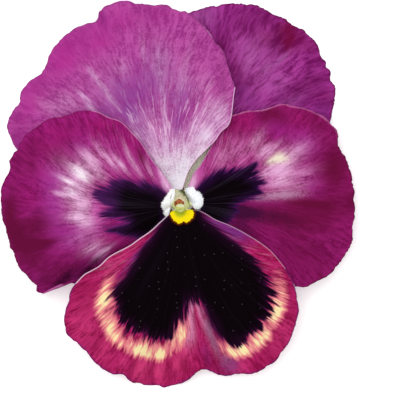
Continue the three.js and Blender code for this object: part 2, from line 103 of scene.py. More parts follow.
PETALS = {
    "upper_right": {
        "slot": "petal_plum", "root": 60, "front": (-1.3, -1.3), "blend": (0, 1),
        "first": [(0.5, 3.5), (0.4, 6.5), (-1, 12), (-3, 22), (-6, 34), (-8, 40)],
        "second": [(2.5, 3.4), (3.6, 5.6), (6, 8), (11, 10), (18, 11), (26, 10.5), (32, 12.5), (36, 17.3)],
        "outer": [
            (-5.5, 45.3), (-1.8, 47.5), (2, 48), (6.5, 49.2), (12.5, 50.1), (17.1, 50), (20.2, 49.3),
            (22.2, 47.7), (24.2, 47), (27.3, 45.2), (31.3, 42.8), (34.2, 39.4), (35.1, 36.7), (36.1, 35.8),
            (36.1, 34.3), (37, 33.3), (37.2, 31), (38.2, 29.5), (38.4, 27.8), (38, 25.5), (37, 20.3),
        ],
        "folds": [(0.42, 0.07, 1.2), (0.58, 0.06, -1), (0.72, 0.05, -0.8), (0.12, 0.1, -1)],
        "ruffle": (6, 0.8, 0.3), "curl": (0, 0), "fan": (82, 1.2),
    },
    "side_right": {
        "slot": "petal_magenta", "root": -5, "front": (0, 0), "blend": (0, 1),
        "first": [
            (2.6, 1.9), (1.5, 3.6), (2, 5.5), (3, 7.8), (4.5, 9.6), (6.8, 13.6), (10.2, 19.4),
            (12.5, 22.2),
        ],
        "second": [
            (2.9, -1.3), (4.4, -2.3), (6.2, -4.6), (9.5, -9), (14.5, -14.5), (20.8, -19.2), (25.8, -21),
        ],
        "outer": [
            (17, 23.3), (20, 23.5), (23.3, 24.5), (25.5, 25), (27, 24.5), (30.3, 24), (34, 22.5),
            (37.3, 20), (38.8, 17.8), (39.2, 14.6), (41.2, 10.9), (42.5, 6), (43, 3.5), (42.8, 1.7),
            (43.3, -1.5), (42.8, -6), (42.3, -10.3), (39.5, -14.5), (36.5, -18), (33.6, -19.2),
            (30.8, -20.9), (28.4, -20.6),
        ],
        "folds": [(0.3, 0.06, 1.1), (0.5, 0.07, -0.9), (0.66, 0.06, 1), (0.8, 0.05, -0.9)],
        "ruffle": (6, 0.8, 0), "curl": (0.2, 0), "fan": (8, 1.6), "pad": (3.6, 1.4),
    },
    "upper_left": {
        "slot": "petal_lilac", "root": 118, "front": (1.3, 1.3), "blend": (0, 1),
        "first": [(-2.1, 3.8), (-8, 6.5), (-16, 9), (-25, 10), (-33, 10), (-39, 12)],
        "second": [
            (0.1, 3.8), (1, 6.5), (1.8, 8.5), (3.5, 11), (5.8, 13.3), (8.3, 15.8), (9.8, 18), (11.5, 19.5),
            (12.3, 21.5), (13, 27.3), (13.3, 29),
        ],
        "outer": [
            (-41.3, 13.8), (-43, 16.5), (-43.8, 19.3), (-43, 22), (-40.6, 25.8), (-40.2, 28.5),
            (-37.8, 31), (-35.5, 32.5), (-33.8, 34.6), (-33.2, 37.3), (-30.5, 41), (-28, 43), (-24, 45.2),
            (-21.5, 45.6), (-20.6, 48.4), (-17, 50.2), (-14.3, 50.7), (-9.5, 49.8), (-4.3, 49.7),
            (-0.4, 48.2), (0.8, 48.2), (3.3, 46.3), (5.3, 44.5), (7.5, 41.5), (10.2, 38), (11.5, 34.3),
        ],
        "folds": [
            (0.36, 0.05, 1.2), (0.45, 0.03, -1.2), (0.58, 0.05, 1), (0.7, 0.05, -0.7), (0.85, 0.06, 1),
            (0.12, 0.1, -0.6),
        ],
        "ruffle": (7, 0.9, 0.15), "curl": (0, 0.25), "fan": (120, 1.2),
    },
    "side_left": {
        "slot": "petal_magenta", "root": 185, "front": (0.3, 2.7), "blend": (0.1, 0.55),
        "first": [(-2.9, -1.6), (-4.3, -3.4), (-6.8, -9), (-11, -15.5), (-16, -20), (-20.5, -22)],
        "second": [
            (-3, 1.6), (-2.3, 3.3), (-3.1, 5.1), (-5.5, 8.5), (-7.5, 11), (-10.3, 15.5), (-12, 17.3),
            (-13.8, 19.3), (-15.5, 20.7), (-18.5, 21.7), (-20.5, 22.8), (-22.5, 23.3),
        ],
        "outer": [
            (-24.4, -21), (-27.6, -19.8), (-30.5, -20.3), (-33.5, -21.7), (-35, -22.4), (-36.1, -21.8),
            (-36.4, -20.2), (-38.6, -18.1), (-40, -16.6), (-41.2, -14.4), (-43.2, -9.6), (-44.9, -2.2),
            (-45.3, 1.3), (-44.7, 5), (-43.1, 8.4), (-43, 11), (-41, 13.8), (-39.3, 17), (-36, 19.3),
            (-33, 21.3), (-30, 21.8), (-27.5, 22.5), (-25, 23.3),
        ],
        "folds": [
            (0.22, 0.05, -0.9), (0.36, 0.06, 0.9), (0.52, 0.05, -0.8), (0.68, 0.06, 1), (0.9, 0.06, 0.7),
        ],
        "ruffle": (6, 0.8, 0.5), "curl": (0, 0.25), "fan": (200, 1.5), "pad": (-4.4, 0.4),
    },
    "lower": {
        "slot": "petal_magenta", "root": 270, "front": (1.3, 2), "blend": (0.1, 0.9),
        "first": [
            (2.8, -1.7), (4, -1.5), (5.8, -2.3), (8.3, -3.8), (12, -5.3), (17, -8), (22, -11.5),
            (25.8, -16),
        ],
        "second": [
            (-2.8, -2.1), (-5.5, -4.5), (-8, -6.8), (-10.5, -8.5), (-13, -10.3), (-18, -13),
            (-20.5, -15.3), (-22.5, -16.5), (-24.3, -17.5), (-26.5, -19.8),
        ],
        "outer": [
            (28, -20.3), (29, -25.3), (28.5, -29.5), (27, -34), (24.5, -37.8), (21.5, -40.5), (18.3, -42),
            (14.5, -42.6), (9.3, -42.8), (7.5, -42), (5.8, -41.4), (4.3, -41.8), (0.8, -44.3),
            (-3.8, -45.8), (-7, -45.2), (-9.5, -45.3), (-13, -44.2), (-15, -42.4), (-17, -42.5),
            (-20.5, -40.5), (-22.5, -38.5), (-24.3, -36.3), (-28.5, -32.5), (-29.5, -29.3), (-29, -26.5),
            (-28.2, -24), (-27.6, -21.5),
        ],
        "folds": [
            (0.27, 0.05, 0.8), (0.37, 0.05, -1.3), (0.46, 0.035, 1.5), (0.58, 0.05, -0.7),
            (0.7, 0.05, 0.7), (0.82, 0.05, -0.5), (0.93, 0.05, 0.6),
        ],
        "ruffle": (6, 0.9, 0.2), "curl": (0.35, 0.45), "fan": (264, 0.8),
    },
}

# ---- Markings --------------------------------------------------------------------------------
# A wash is a sum of soft patches: x, y, half the length along the veins, half the width, strength.
# Its name is that of its colour in LOOKS.

WASHES = {
    "upper_right": {
        "pale": [
            (5.5, 47, 3, 3, 0.6), (17.5, 38.5, 5, 3, 0.5), (25.2, 36.6, 2.2, 0.6, 0.8),
            (21, 34, 2, 1, 0.5), (20, 31, 9, 5, 0.3), (16.5, 35, 3, 1, 0.35), (13.5, 41, 3, 2, 0.2),
            (27.5, 25.8, 4, 1.4, 0.4), (24.5, 29.8, 3, 2, 0.25),
        ],
        "deep": [
            # The first three patches are painted shadow cast by the upper left petal's edge.
            (9.5, 38.5, 5, 2, 0.75), (12.6, 33, 4, 2, 0.6), (14.3, 29.5, 3, 1.7, 0.65),
            (17, 43, 3, 3, 0.35), (33.5, 30, 4, 3, 0.5), (28.5, 28.5, 4, 2, 0.25), (23, 40, 3, 2, 0.4),
            (34.5, 36, 2, 3, 0.3), (12, 46, 3, 3, 0.3), (16, 47.8, 2.5, 2, 0.4), (20.5, 47, 3, 2.5, 0.7),
        ],
        "warm": [
            (26.6, 43.6, 3.4, 2.6, 0.8), (27.2, 40, 3, 1.9, 0.6), (20.5, 41.5, 3, 2, 0.3),
            (32, 40, 3, 2, 0.35), (36, 26, 3, 2, 0.3),
        ],
        "violet": [
            (17.5, 25, 2.5, 5, 0.5), (25, 26, 2, 4, 0.25), (35, 22.8, 3, 3.5, 0.6), (7, 46.5, 4, 4, 0.3),
            (14, 27, 3, 2, 0.3), (30, 24.5, 3, 3, 0.25),
        ],
        # The claw lies in the shade of the petals over it and is painted lighter than its own pale olive:
        # painted light.
        "claw": [(2, 7, 7, 7, 1), (4, 12, 5, 5, 0.9), (6, 15, 4, 4, 0.4)],
    },
    "side_right": {
        "rose": [
            (13.5, 12.5, 5, 4, 0.4), (8, 11.5, 4, 2.4, 0.4), (3.9, 7, 3.5, 1.1, 0.8),
            (3, 5, 1.6, 1.2, 0.9), (4.6, 7.4, 2.6, 1.6, 0.35), (24, 8.5, 5, 4.5, 0.4),
            (17, 9.8, 3, 1.6, 0.3), (29.5, 8, 3.6, 2.6, 0.5), (22, 5.5, 3, 2.4, 0.4),
        ],
        "violet": [
            (24, 18.5, 3, 4, 0.6), (31, 15.5, 3, 4, 0.65), (32.5, 5, 3, 4, 0.55), (19.5, 0.6, 5, 1.4, 0.4),
            (27, 12.5, 6, 4, 0.3),
        ],
        "deep": [
            (23.5, 22.5, 2.2, 4, 0.75), (20.5, 21.5, 2, 2, 0.5), (42.4, 1, 1.6, 3, 0.7),
            (37.6, 8, 3.4, 5.5, 0.9), (40, 12, 3, 5, 0.4), (36, -1, 6, 3.4, 0.7),
            (30.5, 0.2, 6, 1.1, 0.75), (13, 19.5, 2.4, 2, 0.4), (22, -3, 8, 2.4, 0.7), (31, -4, 8, 3, 0.6),
            (33, 20, 2, 4, 0.4), (30, -13, 9, 5, 0.5),
        ],
        "warm": [(15.5, 21, 3, 2.4, 0.5), (29, 21, 2, 3, 0.3), (11, 16, 4, 1.4, 0.35)],
        "pale": [
            (2.5, 4.9, 1.7, 1.1, 1), (3, 6.6, 1.6, 0.6, 0.4), (24.5, 8.6, 3.2, 1.6, 0.8),
            (20.3, 13.3, 2.2, 1.1, 0.55), (28.4, 13.2, 3, 0.8, 0.15), (21, 7.6, 1.8, 1.1, 0.35),
            (24.4, 5.4, 3, 1.1, 0.7), (26, 7.2, 2.5, 1, 0.3), (30, 7.6, 3.4, 1.5, 0.25),
            (28, 4.4, 4, 1, 0.25), (26, 11.4, 5, 2.2, 0.48), (22.6, 13.6, 3, 0.8, 0.4),
            (14.2, 13.4, 3, 2.6, 0.14), (10, 11.8, 3, 1.6, 0.22), (18.6, 15.8, 2.6, 1.2, 0.4),
            (23.8, 2.6, 4, 0.8, 0.25),
        ],
        "mauve": [(24.5, 2.2, 3.8, 1, 0.9), (29, 2.6, 3, 0.9, 0.3), (19, 1.4, 3, 0.7, 0.3)],
        "dark_and_shadow": [
            # Near-black patches by the lower petal's edge.
            (14, -1.6, 3.4, 2, 0.9), (17.5, -2.2, 4, 1.4, 0.7), (15, -5.5, 4, 3, 0.6),
            (24, -3.4, 6, 2, 0.4),
        ],
        "glow": [(23.9, 11.4, 1.5, 1.1, 1), (25.7, 11.2, 1.3, 1, 0.55), (22, 10.7, 1.2, 0.8, 0.5)],
    },
    "upper_left": {
        "warm": [
            (-29, 37.5, 5, 8, 0.8), (-20, 41, 4, 4, 0.5), (-38, 26, 3, 6, 0.65), (-8, 47, 3, 7, 0.3),
            (-16, 46, 3, 4, 0.4), (11.4, 25, 1.4, 3, 0.35), (-40.5, 18, 2.5, 3, 0.3),
        ],
        "deep": [
            # The first patch is painted shade in the fold at the notch in the upper edge.
            (-20, 46.8, 3, 1, 0.7), (-41, 14.5, 3, 3, 0.6), (-27, 40, 2, 3, 0.3), (-14.5, 25.5, 3, 2, 0.4),
            (-24, 44, 1.2, 3, 0.3), (-36, 30, 2, 3, 0.25),
        ],
        "violet": [
            # Patches near the left side petal's upper edge are painted shade; the rest is the petal's own
            # dusky violet.
            (-13.2, 22.5, 2.5, 2, 0.6), (-12.7, 27.3, 6, 8, 0.8), (-20, 21, 4, 3, 0.6), (0, 26, 5, 3, 0.6),
            (-6, 34, 6, 4, 0.35), (-28, 21, 4, 2, 0.35), (-10.5, 18, 4, 2.4, 0.6), (-1, 19.5, 3, 2, 0.5),
        ],
        "pale": [
            (5.8, 17.2, 2.6, 2.6, 0.85), (8.8, 22.5, 4, 2.6, 0.5), (6, 24, 3, 1, 0.2),
            (3, 19.5, 3, 1.2, 0.45), (10.5, 20, 2.4, 2, 0.35), (-4, 13.5, 2.5, 0.8, 0.6),
            (-4.2, 17, 2.5, 0.6, 0.5), (-4.3, 21, 2.5, 0.6, 0.4), (-4.4, 25, 2.5, 0.6, 0.25),
            (-4.8, 29, 2.5, 0.6, 0.2), (-5.5, 33, 3, 0.6, 0.2), (-24.2, 26.5, 2.6, 0.6, 0.5),
            (-22.4, 23.6, 2, 0.7, 0.45), (-22, 32, 3, 0.6, 0.3), (-28.5, 26, 3, 1.6, 0.2),
            (-6.7, 11.4, 2, 1, 0.5), (-15, 34, 2.4, 2, 0.15), (-9.7, 38, 4, 0.7, 0.2),
            (-32, 24, 4, 2, 0.2), (-18.5, 27.5, 4, 0.7, 0.35), (4.5, 28.5, 4, 1.8, 0.1),
            (-5.5, 36, 4, 2.4, 0.22), (2.4, 13.6, 3, 1.6, 0.35), (-7, 15, 4, 2, 0.45), (-1, 14, 4, 3, 0.4),
            (0.5, 33, 7, 1, 0.15), (-8, 21, 4, 3, 0.18), (-10.5, 17, 4, 2, 0.25), (-20, 29, 7, 6, 0.08),
            (-2, 30, 8, 6, 0.08),
        ],
        "claw": [(0, 5, 6.5, 7, 1)],
        "white": [
            (-4.6, 10, 2, 1.3, 0.5), (5, 13.2, 1.5, 1, 0.5), (-2.6, 10.5, 3, 3, 0.15),
            (1.5, 11, 3.6, 2.6, 0.4), (-0.2, 8.8, 2.4, 2.4, 0.4), (5.6, 16.2, 2.2, 1.6, 0.4),
            (2.6, 8.8, 2.6, 0.6, 0.6),
        ],
    },
    "side_left": {
        "violet": [
            (-31.5, 6, 4, 5, 0.7), (-32, -2, 4, 5, 0.7), (-25, 14.5, 3, 3, 0.35), (-29, -8, 4, 3, 0.5),
            (-24, -8, 4, 4, 0.4),
        ],
        "rose": [
            (-21.6, -0.5, 1.8, 3, 0.7), (-21, -4.5, 1.8, 2.4, 0.6), (-18, 11, 4.4, 3, 0.5),
            (-20.5, -12.2, 2.6, 0.9, 0.5), (-4.6, 6, 3, 1.2, 0.85), (-7, 8.6, 3, 1, 0.4),
            (-12, 9.4, 4, 1.8, 0.3),
        ],
        "deep": [
            # Partly the margin's own darker colour, partly painted shade where the margin curves away and
            # beside the lower petal's edge.
            (-43, -1, 2.4, 6, 0.9), (-41, -9, 3.6, 5, 0.95), (-36.5, -14, 5, 4, 0.65),
            (-33, -18.5, 5, 2.4, 0.4), (-37, -5, 5, 2, 0.5), (-28, 19, 1.8, 2, 0.25),
            (-10.2, 11.8, 2, 0.9, 0.7), (-15, -12, 5, 2, 0.55), (-28, -15.5, 6, 2.4, 0.45),
            (-37, 14.5, 3, 3, 0.35), (-38, 9, 3, 3, 0.35), (-31, 11, 3, 1.6, 0.4), (-33, -9.5, 5, 1, 0.5),
            (-41, 11, 3, 3, 0.3), (-35.5, -9, 3, 3, 0.6), (-35.5, -3, 3, 3, 0.4), (-30, 14, 3, 2.4, 0.35),
        ],
        "warm": [
            (-31, 17, 3, 6, 0.3), (-20, 19.5, 2.4, 4, 0.5), (-13, 16, 2.5, 2, 0.4), (-38, 2, 3, 3, 0.35),
            (-15, -7.8, 4, 1, 0.4), (-20, -9, 4, 1, 0.4),
        ],
        "pale": [
            (-25.4, 7.6, 2.6, 1.8, 0.8), (-28, 5.6, 2.6, 0.8, 0.6), (-27.5, 2.8, 2.4, 1.6, 0.6),
            (-30, 2.4, 2, 0.5, 0.5), (-24.8, -0.4, 2.2, 2, 0.6), (-26.2, -3.4, 2.6, 1.2, 0.55),
            (-23.8, -4.6, 2.2, 1.4, 0.5), (-22.4, -10.8, 2.6, 1.1, 0.38), (-20.5, -12.8, 2.4, 0.8, 0.25),
            (-19.6, -11.6, 2.4, 0.7, 0.5), (-22.8, 10.8, 3, 1.6, 0.65), (-18, 11, 3, 0.8, 0.42),
            (-15.2, 9.9, 2.6, 0.5, 0.6), (-20.5, 13.4, 3, 0.7, 0.2), (-11.5, 9.2, 3, 0.6, 0.3),
            (-8, 8.4, 2.4, 0.6, 0.25), (-26, 3, 4, 5, 0.26), (-29, 9, 4, 3, 0.1), (-24, -8, 4, 2, 0.14),
            (-26, -2.8, 1.6, 1, 0.4), (-3.7, 4.3, 1.6, 1.1, 0.7), (-4.9, 7.4, 2.5, 0.8, 0.7),
            (-20.5, 7.2, 2, 1.1, 0.3), (-13.6, 13, 3, 0.5, 0.25),
        ],
        "white": [
            (-25.4, 7.9, 2.2, 1, 0.8), (-24.6, 6.6, 1.4, 0.5, 0.5), (-28, 5.5, 1.8, 0.4, 0.6),
            (-27.4, 3, 1.2, 0.8, 0.4),
        ],
        # Painted shadow cast by the lower petal's edge.
        "dark_and_shadow": [(-23.5, -16.4, 5, 1.4, 0.9), (-18, -13.9, 5, 0.8, 0.6), (-29.8, -19, 4, 1.2, 0.8)],
    },
    "lower": {
        "rose": [
            (-24.5, -30, 4, 5, 0.5), (-20, -37.5, 3, 3, 0.3), (-10.5, -40.5, 2.6, 1.4, 0.75),
            (-9.2, -39.2, 1.5, 1.3, 0.5), (-5.5, -40.6, 2.8, 1.4, 0.75), (-14.5, -39, 2.4, 1, 0.5),
            (-1.5, -39.4, 2.6, 1, 0.5), (-16, -15, 4, 1.2, 0.15), (-17, -13.6, 3, 0.7, 0.2),
            (-19, -35.5, 2, 1, 0.4), (24, -32, 4, 5, 0.4), (14, -40, 2.6, 2, 0.6), (-22, -24, 3, 3, 0.3),
            (-8, -43, 3, 6, 0.3), (-0.5, -39, 3, 2, 0.4), (0.8, -36, 3, 1.5, 0.6),
        ],
        "deep": [
            (-24.5, -21.5, 3, 1.8, 0.5), (-12.7, -41, 3, 0.8, 0.6), (0.6, -41, 3, 1.6, 0.5),
            (-21, -35, 2.4, 1.6, 0.4), (-3.4, -42, 3, 0.7, 0.5), (2.9, -27.5, 3.4, 0.28, 0.9),
            (12.5, -38.6, 2, 1.5, 0.3), (22, -38, 3, 4, 0.3), (-8, -42.5, 2.4, 0.6, 0.5),
            (8, -38, 2, 1.4, 0.3), (-24, -26, 3, 2.4, 0.3), (10.8, -41.2, 2.5, 1.6, 0.5),
            (-18, -39.5, 2, 1.6, 0.3), (3.2, -34, 3, 0.9, 0.35),
        ],
        "violet": [
            (-7.6, -9.2, 4, 0.8, 0.9), (-11.4, -13, 4, 0.8, 0.6), (8.5, -4.7, 6, 1.6, 1),
            (14, -7.8, 4, 2, 0.8), (12, -40, 3, 2.4, 0.7), (6, -38, 3, 1.2, 0.35),
            (-14.5, -17, 3, 0.7, 0.35),
        ],
        "mauve": [
            # A painted sheen on the slope right of the crease, which turns away from the light.
            (4.7, -26.8, 1.6, 0.6, 0.6), (6.6, -31.2, 3, 1, 0.85), (8, -34.8, 3.2, 1, 0.6),
            (11.2, -38.6, 3, 1.6, 0.45),
        ],
        "pale": [
            (2.5, -25.2, 2.4, 0.35, 0.8), (2.2, -28.4, 2.4, 0.6, 0.75), (2.4, -31.4, 2.8, 0.9, 0.5),
            (1.2, -33, 2.5, 1.1, 0.65), (3.7, -25, 1.5, 0.35, 0.7), (4.3, -27.4, 1.6, 0.35, 0.4),
            (5.4, -30, 1.8, 0.5, 0.35), (-17.2, -14.8, 2.4, 0.5, 0.1),
        ],
    },
}
STREAKY = ("pale", "white", "rose", "glow")  # washes that streaks break up

# The ring of light round the lower blotch: x, y and strength.
RING = [
    (-15.4, -13.4, 0), (-16.9, -16.4, 0.1), (-18.4, -19.4, 0.45), (-19.6, -23.6, 1.1),
    (-20.1, -26.4, 0.75), (-19.3, -29.2, 0.7), (-18.1, -31, 0.82), (-16.8, -33.4, 0.98),
    (-14.3, -35.2, 0.52), (-12.6, -35.9, 0.75), (-11, -36.5, 1.3), (-9.3, -37.1, 1.2), (-7.8, -37.4, 0.65),
    (-6.3, -37.7, 1.3), (-4.9, -37.3, 1.22), (-3.6, -36.8, 0.5), (-1.7, -35.5, 0.65), (0, -33, 1.05),
    (1, -30.3, 0.6), (1.6, -28.4, 0.3), (2.2, -26, 0), (5.4, -28, 0), (7.6, -32, 0), (10, -35.2, 0.35),
    (12.5, -36.8, 0.85), (14.8, -37, 1.15), (17.6, -35.8, 0.7), (20.4, -33.4, 1.1), (22.4, -30.4, 0.6),
    (24, -27, 1.05), (24.8, -23, 0.7), (24.6, -19.5, 0.4), (23.4, -15.6, 0.1),
]
RING_INSIDE = 2.7              # how far its light fades towards the throat
RING_OUTSIDE = 1.6             # and towards the margin

# Outlines of the dark blotches, the beards and the eye.
BLOTCHES = {
    "side_right": [
        (3.6, 3.4), (5, 5), (7.4, 6.9), (9.4, 8), (12.6, 8.3), (15.3, 8.7), (17.2, 9.5), (18.1, 9.9),
        (17.6, 8.3), (18.4, 7.2), (17.4, 6.6), (19.3, 5.8), (20.7, 5.4), (19.6, 4.6), (20.2, 2.9),
        (17, 1.7), (14.7, 0.6), (13.2, -1.5), (11.8, -4.1), (8, -6), (4, -3), (3.4, 0.5),
    ],
    "side_left": [
        (-3.4, 2), (-5.7, 3.7), (-8.6, 4.8), (-10.8, 4.9), (-14, 5.4), (-16.8, 5.6), (-18.1, 4.5),
        (-20, 3.4), (-21.2, 1.8), (-19, 0), (-17.3, -1.3), (-19.3, -2.7), (-15, -3.6), (-13.4, -4.8),
        (-18.8, -6.8), (-14.7, -7.4), (-11.5, -8.8), (-7, -8.5), (-4, -5), (-3.6, -1),
    ],
    "lower": [
        (-3, -1.9), (-5.4, -4.9), (-8, -9.2), (-11.2, -13.6), (-14.4, -18.3), (-16.4, -20.8),
        (-17.2, -22.8), (-16.6, -25.4), (-15.1, -28.2), (-13.2, -30.7), (-11.5, -31.9), (-9.2, -31.3),
        (-7.4, -33.6), (-5.2, -32.8), (-3.1, -33.1), (-1.8, -30.9), (0.4, -27.8), (1.8, -24.4),
        (2.5, -22.8), (3.2, -23.4), (5.3, -25.3), (8, -30.3), (9.8, -33.3), (13, -34.4), (16.6, -33.4),
        (20, -30.5), (22.4, -25), (21.4, -20), (18.6, -14.8), (13.5, -9.8), (8.6, -6.2), (6, -4), (5, -2),
        (3, -1.2), (0, -1.2),
    ],
}
BEARDS = {
    "side_right": [
        (0.5, 3.75), (1.7, 4.2), (2.7, 4.4), (3.4, 3.4), (4.5, 2.75), (5.1, 1.75), (5.25, 0.75),
        (5.1, -0.25), (4.5, -1.1), (3.5, -1.4), (2.75, -0.5), (1.75, 1), (0.9, 2.6),
    ],
    "side_left": [
        (-1.8, 3.7), (-2.6, 3.9), (-3.75, 2.25), (-4.6, 0.9), (-5.2, -0.2), (-4.8, -1.25), (-4.55, -2.5),
        (-3.9, -3.2), (-3.3, -2.6), (-2.9, -0.8), (-2.2, 1), (-1.8, 2.75),
    ],
}
EYE = [
    (-3.1, -1.1), (-3.1, -2.1), (-2.7, -3.2), (-2.1, -4), (-1.4, -4.65), (-0.6, -4.85), (0, -4.6),
    (0.4, -4.4), (0.9, -4.7), (1.6, -4.45), (2.3, -3.8), (2.8, -3), (2.95, -2.3), (2.9, -1.8), (3.4, -1),
    (2.5, 1), (-2.5, 1),
]
CUP = (-0.5, -1.8)             # middle of the green part of the eye, under the stigma
ROUNDING = 8                   # steps from one corner of an outline to the next

# ---- Curves and surfaces ---------------------------------------------------------------------


def mix(a, b, share):
    return a + (b - a) * share


def ease(x, low, high):
    share = np.clip((x - low) / (high - low), 0, 1)
    return share * share * (3 - 2 * share)


def within(x, margin):
    """1 where x is well between 0 and 1, easing to 0 over a margin at both ends."""
    return ease(x, 0, margin) * ease(1 - x, 0, margin)


def mound(plan, x, y, spread):
    """A soft round mound of height 1 at x and y."""
    return np.exp(-((plan[:, 0] - x) ** 2 + (plan[:, 1] - y) ** 2) / spread**2)


def on_curve(points, t):
    """Points of a smooth curve through the given ones, at shares t of its length along the chords."""
    points = np.asarray(points, float)
    chords = np.linalg.norm(np.diff(points, axis=0), axis=1)
    at = np.concatenate([[0], np.cumsum(chords)])
    ends = np.arange(len(points))
    before = np.maximum(ends - 1, 0)
    after = np.minimum(ends + 1, len(points) - 1)
    slopes = (points[after] - points[before]) / (at[after] - at[before])[:, None]
    s = np.asarray(t, float) * at[-1]
    i = np.clip(np.searchsorted(at, s) - 1, 0, len(points) - 2)
    h = (at[i + 1] - at[i])[:, None]
    q = (s - at[i])[:, None] / h
    between = mix(points[i], points[i + 1], ease(q, 0, 1))
    leaving = (q**3 - 2 * q**2 + q) * slopes[i]
    arriving = (q**3 - q**2) * slopes[i + 1]
    return between + h * (leaving + arriving)


def traced(points, count):
    """That many points, spread evenly along a smooth curve."""
    return on_curve(points, np.linspace(0, 1, count))


def waves(seed, x, knots):
    """A smooth random line, from -1 to 1, over x from 0 to 1."""
    values = np.random.default_rng(seed).uniform(-1, 1, knots + 2)
    s = np.clip(x, 0, 1) * knots
    i = s.astype(int)
    return mix(values[i], values[i + 1], ease(s - i, 0, 1))


def crumples(seed, u, v, across, along):
    """A smooth random relief, from -1 to 1, over u and v from 0 to 1."""
    values = np.random.default_rng(seed).uniform(-1, 1, (across + 2, along + 2))
    s = np.clip(u, 0, 1) * across
    t = np.clip(v, 0, 1) * along
    i = s.astype(int)
    j = t.astype(int)
    p = ease(s - i, 0, 1)
    q = ease(t - j, 0, 1)
    near = mix(values[i, j], values[i + 1, j], p)
    far = mix(values[i, j + 1], values[i + 1, j + 1], p)
    return mix(near, far, q)


def edge_line(petal, edge):
    """The points of an edge: the outer one runs from the far end of the first to the second's."""
    if edge == "outer":
        return [petal["first"][-1], *petal["outer"], petal["second"][-1]]
    return petal[edge]


def plan_point(petal, u, v):
    """The plan points of a petal at u across and v along: a patch filled in from its four edges."""
    first = on_curve(petal["first"], v)
    second = on_curve(petal["second"], v)
    outer = on_curve(edge_line(petal, "outer"), u)
    u = u[:, None]
    v = v[:, None]
    ends = [[np.array(petal[edge][end]) for edge in ("first", "second")] for end in (0, -1)]
    claw = mix(*ends[0], u)
    corners = mix(claw, mix(*ends[1], u), v)
    return mix(first, second, u) + mix(claw, outer, v) - corners


def face_height(plan):
    r = np.linalg.norm(plan, axis=1) / FACE_RADIUS
    z = FACE_RISE * r - FACE_FALL * r * r
    for x, y, depth, spread in SAGS:
        z -= depth * mound(plan, x, y, spread)
    return z


def relief(seed, u, v):
    """The fine shape of a petal: crinkles towards its outer edge, and ripples further in."""
    height, across, along = CRINKLES
    crinkles = height * crumples(seed, u, v, across, along) * ease(v, 0.25, 1)
    height, across, along = RIPPLES
    ripples = height * crumples(seed + 1, u, v, across, along) * ease(v, 0.1, 0.8)
    return (crinkles + ripples) * within(u, 0.06)


def blade_point(petal, seed, u, v):
    """Points of a petal beyond its claw: its outline, its place in the face, then its relief."""
    plan = plan_point(petal, u, v)
    out = plan / np.linalg.norm(plan, axis=1)[:, None]
    notches = sum(depth * waves(seed + 2 + k, u, count) for k, (depth, count) in enumerate(NOTCHES))
    plan = plan + out * (notches * ease(v, 0.86, 1) * within(u, 0.03))[:, None]
    z = face_height(plan) + mix(*petal["front"], ease(u, *petal["blend"]))
    for at, width, height in petal["folds"]:
        z += height * np.exp(-(((u - at) / width) ** 2)) * ease(v, FOLD_START, 1)
    count, height, shift = petal["ruffle"]
    fade = within(u, RUFFLE_MARGIN) * ease(v, RUFFLE_START, 1)
    z += height * np.sin(2 * np.pi * (count * u + shift)) * fade
    z += relief(seed, u, v)
    for edge, lift in zip(("first", "second"), petal["curl"]):
        if lift:
            gap, _ = nearest_on(plan, traced(petal[edge], 60))
            z += lift * np.exp(-((gap / CURL_WIDTH) ** 2)) * ease(v, 0.03, 0.2)
    if "pad" in petal:
        z += PAD_HEIGHT * mound(plan, *petal["pad"], PAD_SPREAD)
    return np.column_stack([plan, np.maximum(z, FLOOR + SKIN / 2 + CLEAR)])


def claw_point(petal, seed, u, t):
    """The claw bends from the blade down to its root on the receptacle; t is 0 at the root."""
    top = blade_point(petal, seed, u, np.zeros_like(u))
    angle = math.radians(petal["root"])
    side = (0.5 - u) * ROOT_WIDTH
    root = np.column_stack([
        RECEPTACLE.x + ROOT_RING * math.cos(angle) - side * math.sin(angle),
        RECEPTACLE.y + ROOT_RING * math.sin(angle) + side * math.cos(angle),
        np.full_like(u, ROOT_HEIGHT),
    ])
    bend = np.column_stack([mix(root[:, :2], top[:, :2], CLAW_BEND), top[:, 2] - CLAW_DROP])
    t = t[:, None]
    return mix(mix(root, bend, t), mix(bend, top, t), t)


def nearest_on(plan, path):
    """How far each plan point is from a path, and how many of its points along it that is."""
    nearest = np.full(len(plan), np.inf)
    place = np.zeros(len(plan))
    for number, (start, end) in enumerate(zip(path[:-1], path[1:])):
        way = end - start
        share = np.clip((plan - start) @ way / max(way @ way, 1e-12), 0, 1)
        gap = np.linalg.norm(plan - start - share[:, None] * way, axis=1)
        place = np.where(gap < nearest, number + share, place)
        nearest = np.minimum(nearest, gap)
    return nearest, place


def depth_in(plan, corners):
    """How far each plan point is inside a smooth closed outline; below zero outside it."""
    loop = traced(corners + corners[:1], len(corners) * ROUNDING + 1)
    inside = np.zeros(len(plan), bool)
    for (ax, ay), (bx, by) in zip(loop[:-1], loop[1:]):
        if ay != by:
            crosses = (plan[:, 1] < max(ay, by)) & (plan[:, 1] >= min(ay, by))
            inside ^= crosses & (plan[:, 0] < ax + (plan[:, 1] - ay) * (bx - ax) / (by - ay))
    return nearest_on(plan, loop)[0] * np.where(inside, 1, -1)


def vein_place(petal, plan):
    """Where plan points are among the veins: the turn at which theirs starts, and how far out."""
    midline, flare = petal["fan"]
    reach = np.hypot(plan[:, 0], plan[:, 1]) / FACE_RADIUS
    turn = np.arctan2(plan[:, 1], plan[:, 0]) - math.radians(midline)
    turn = (turn + np.pi) % (2 * np.pi) - np.pi
    return turn / (1 + flare * reach), reach


def vein_way(petal, plan):
    """Which way the veins run at plan points."""
    turn, reach = vein_place(petal, plan)
    heading = np.arctan2(plan[:, 1], plan[:, 0]) + np.arctan(petal["fan"][1] * turn * reach)
    return np.column_stack([np.cos(heading), np.sin(heading)])


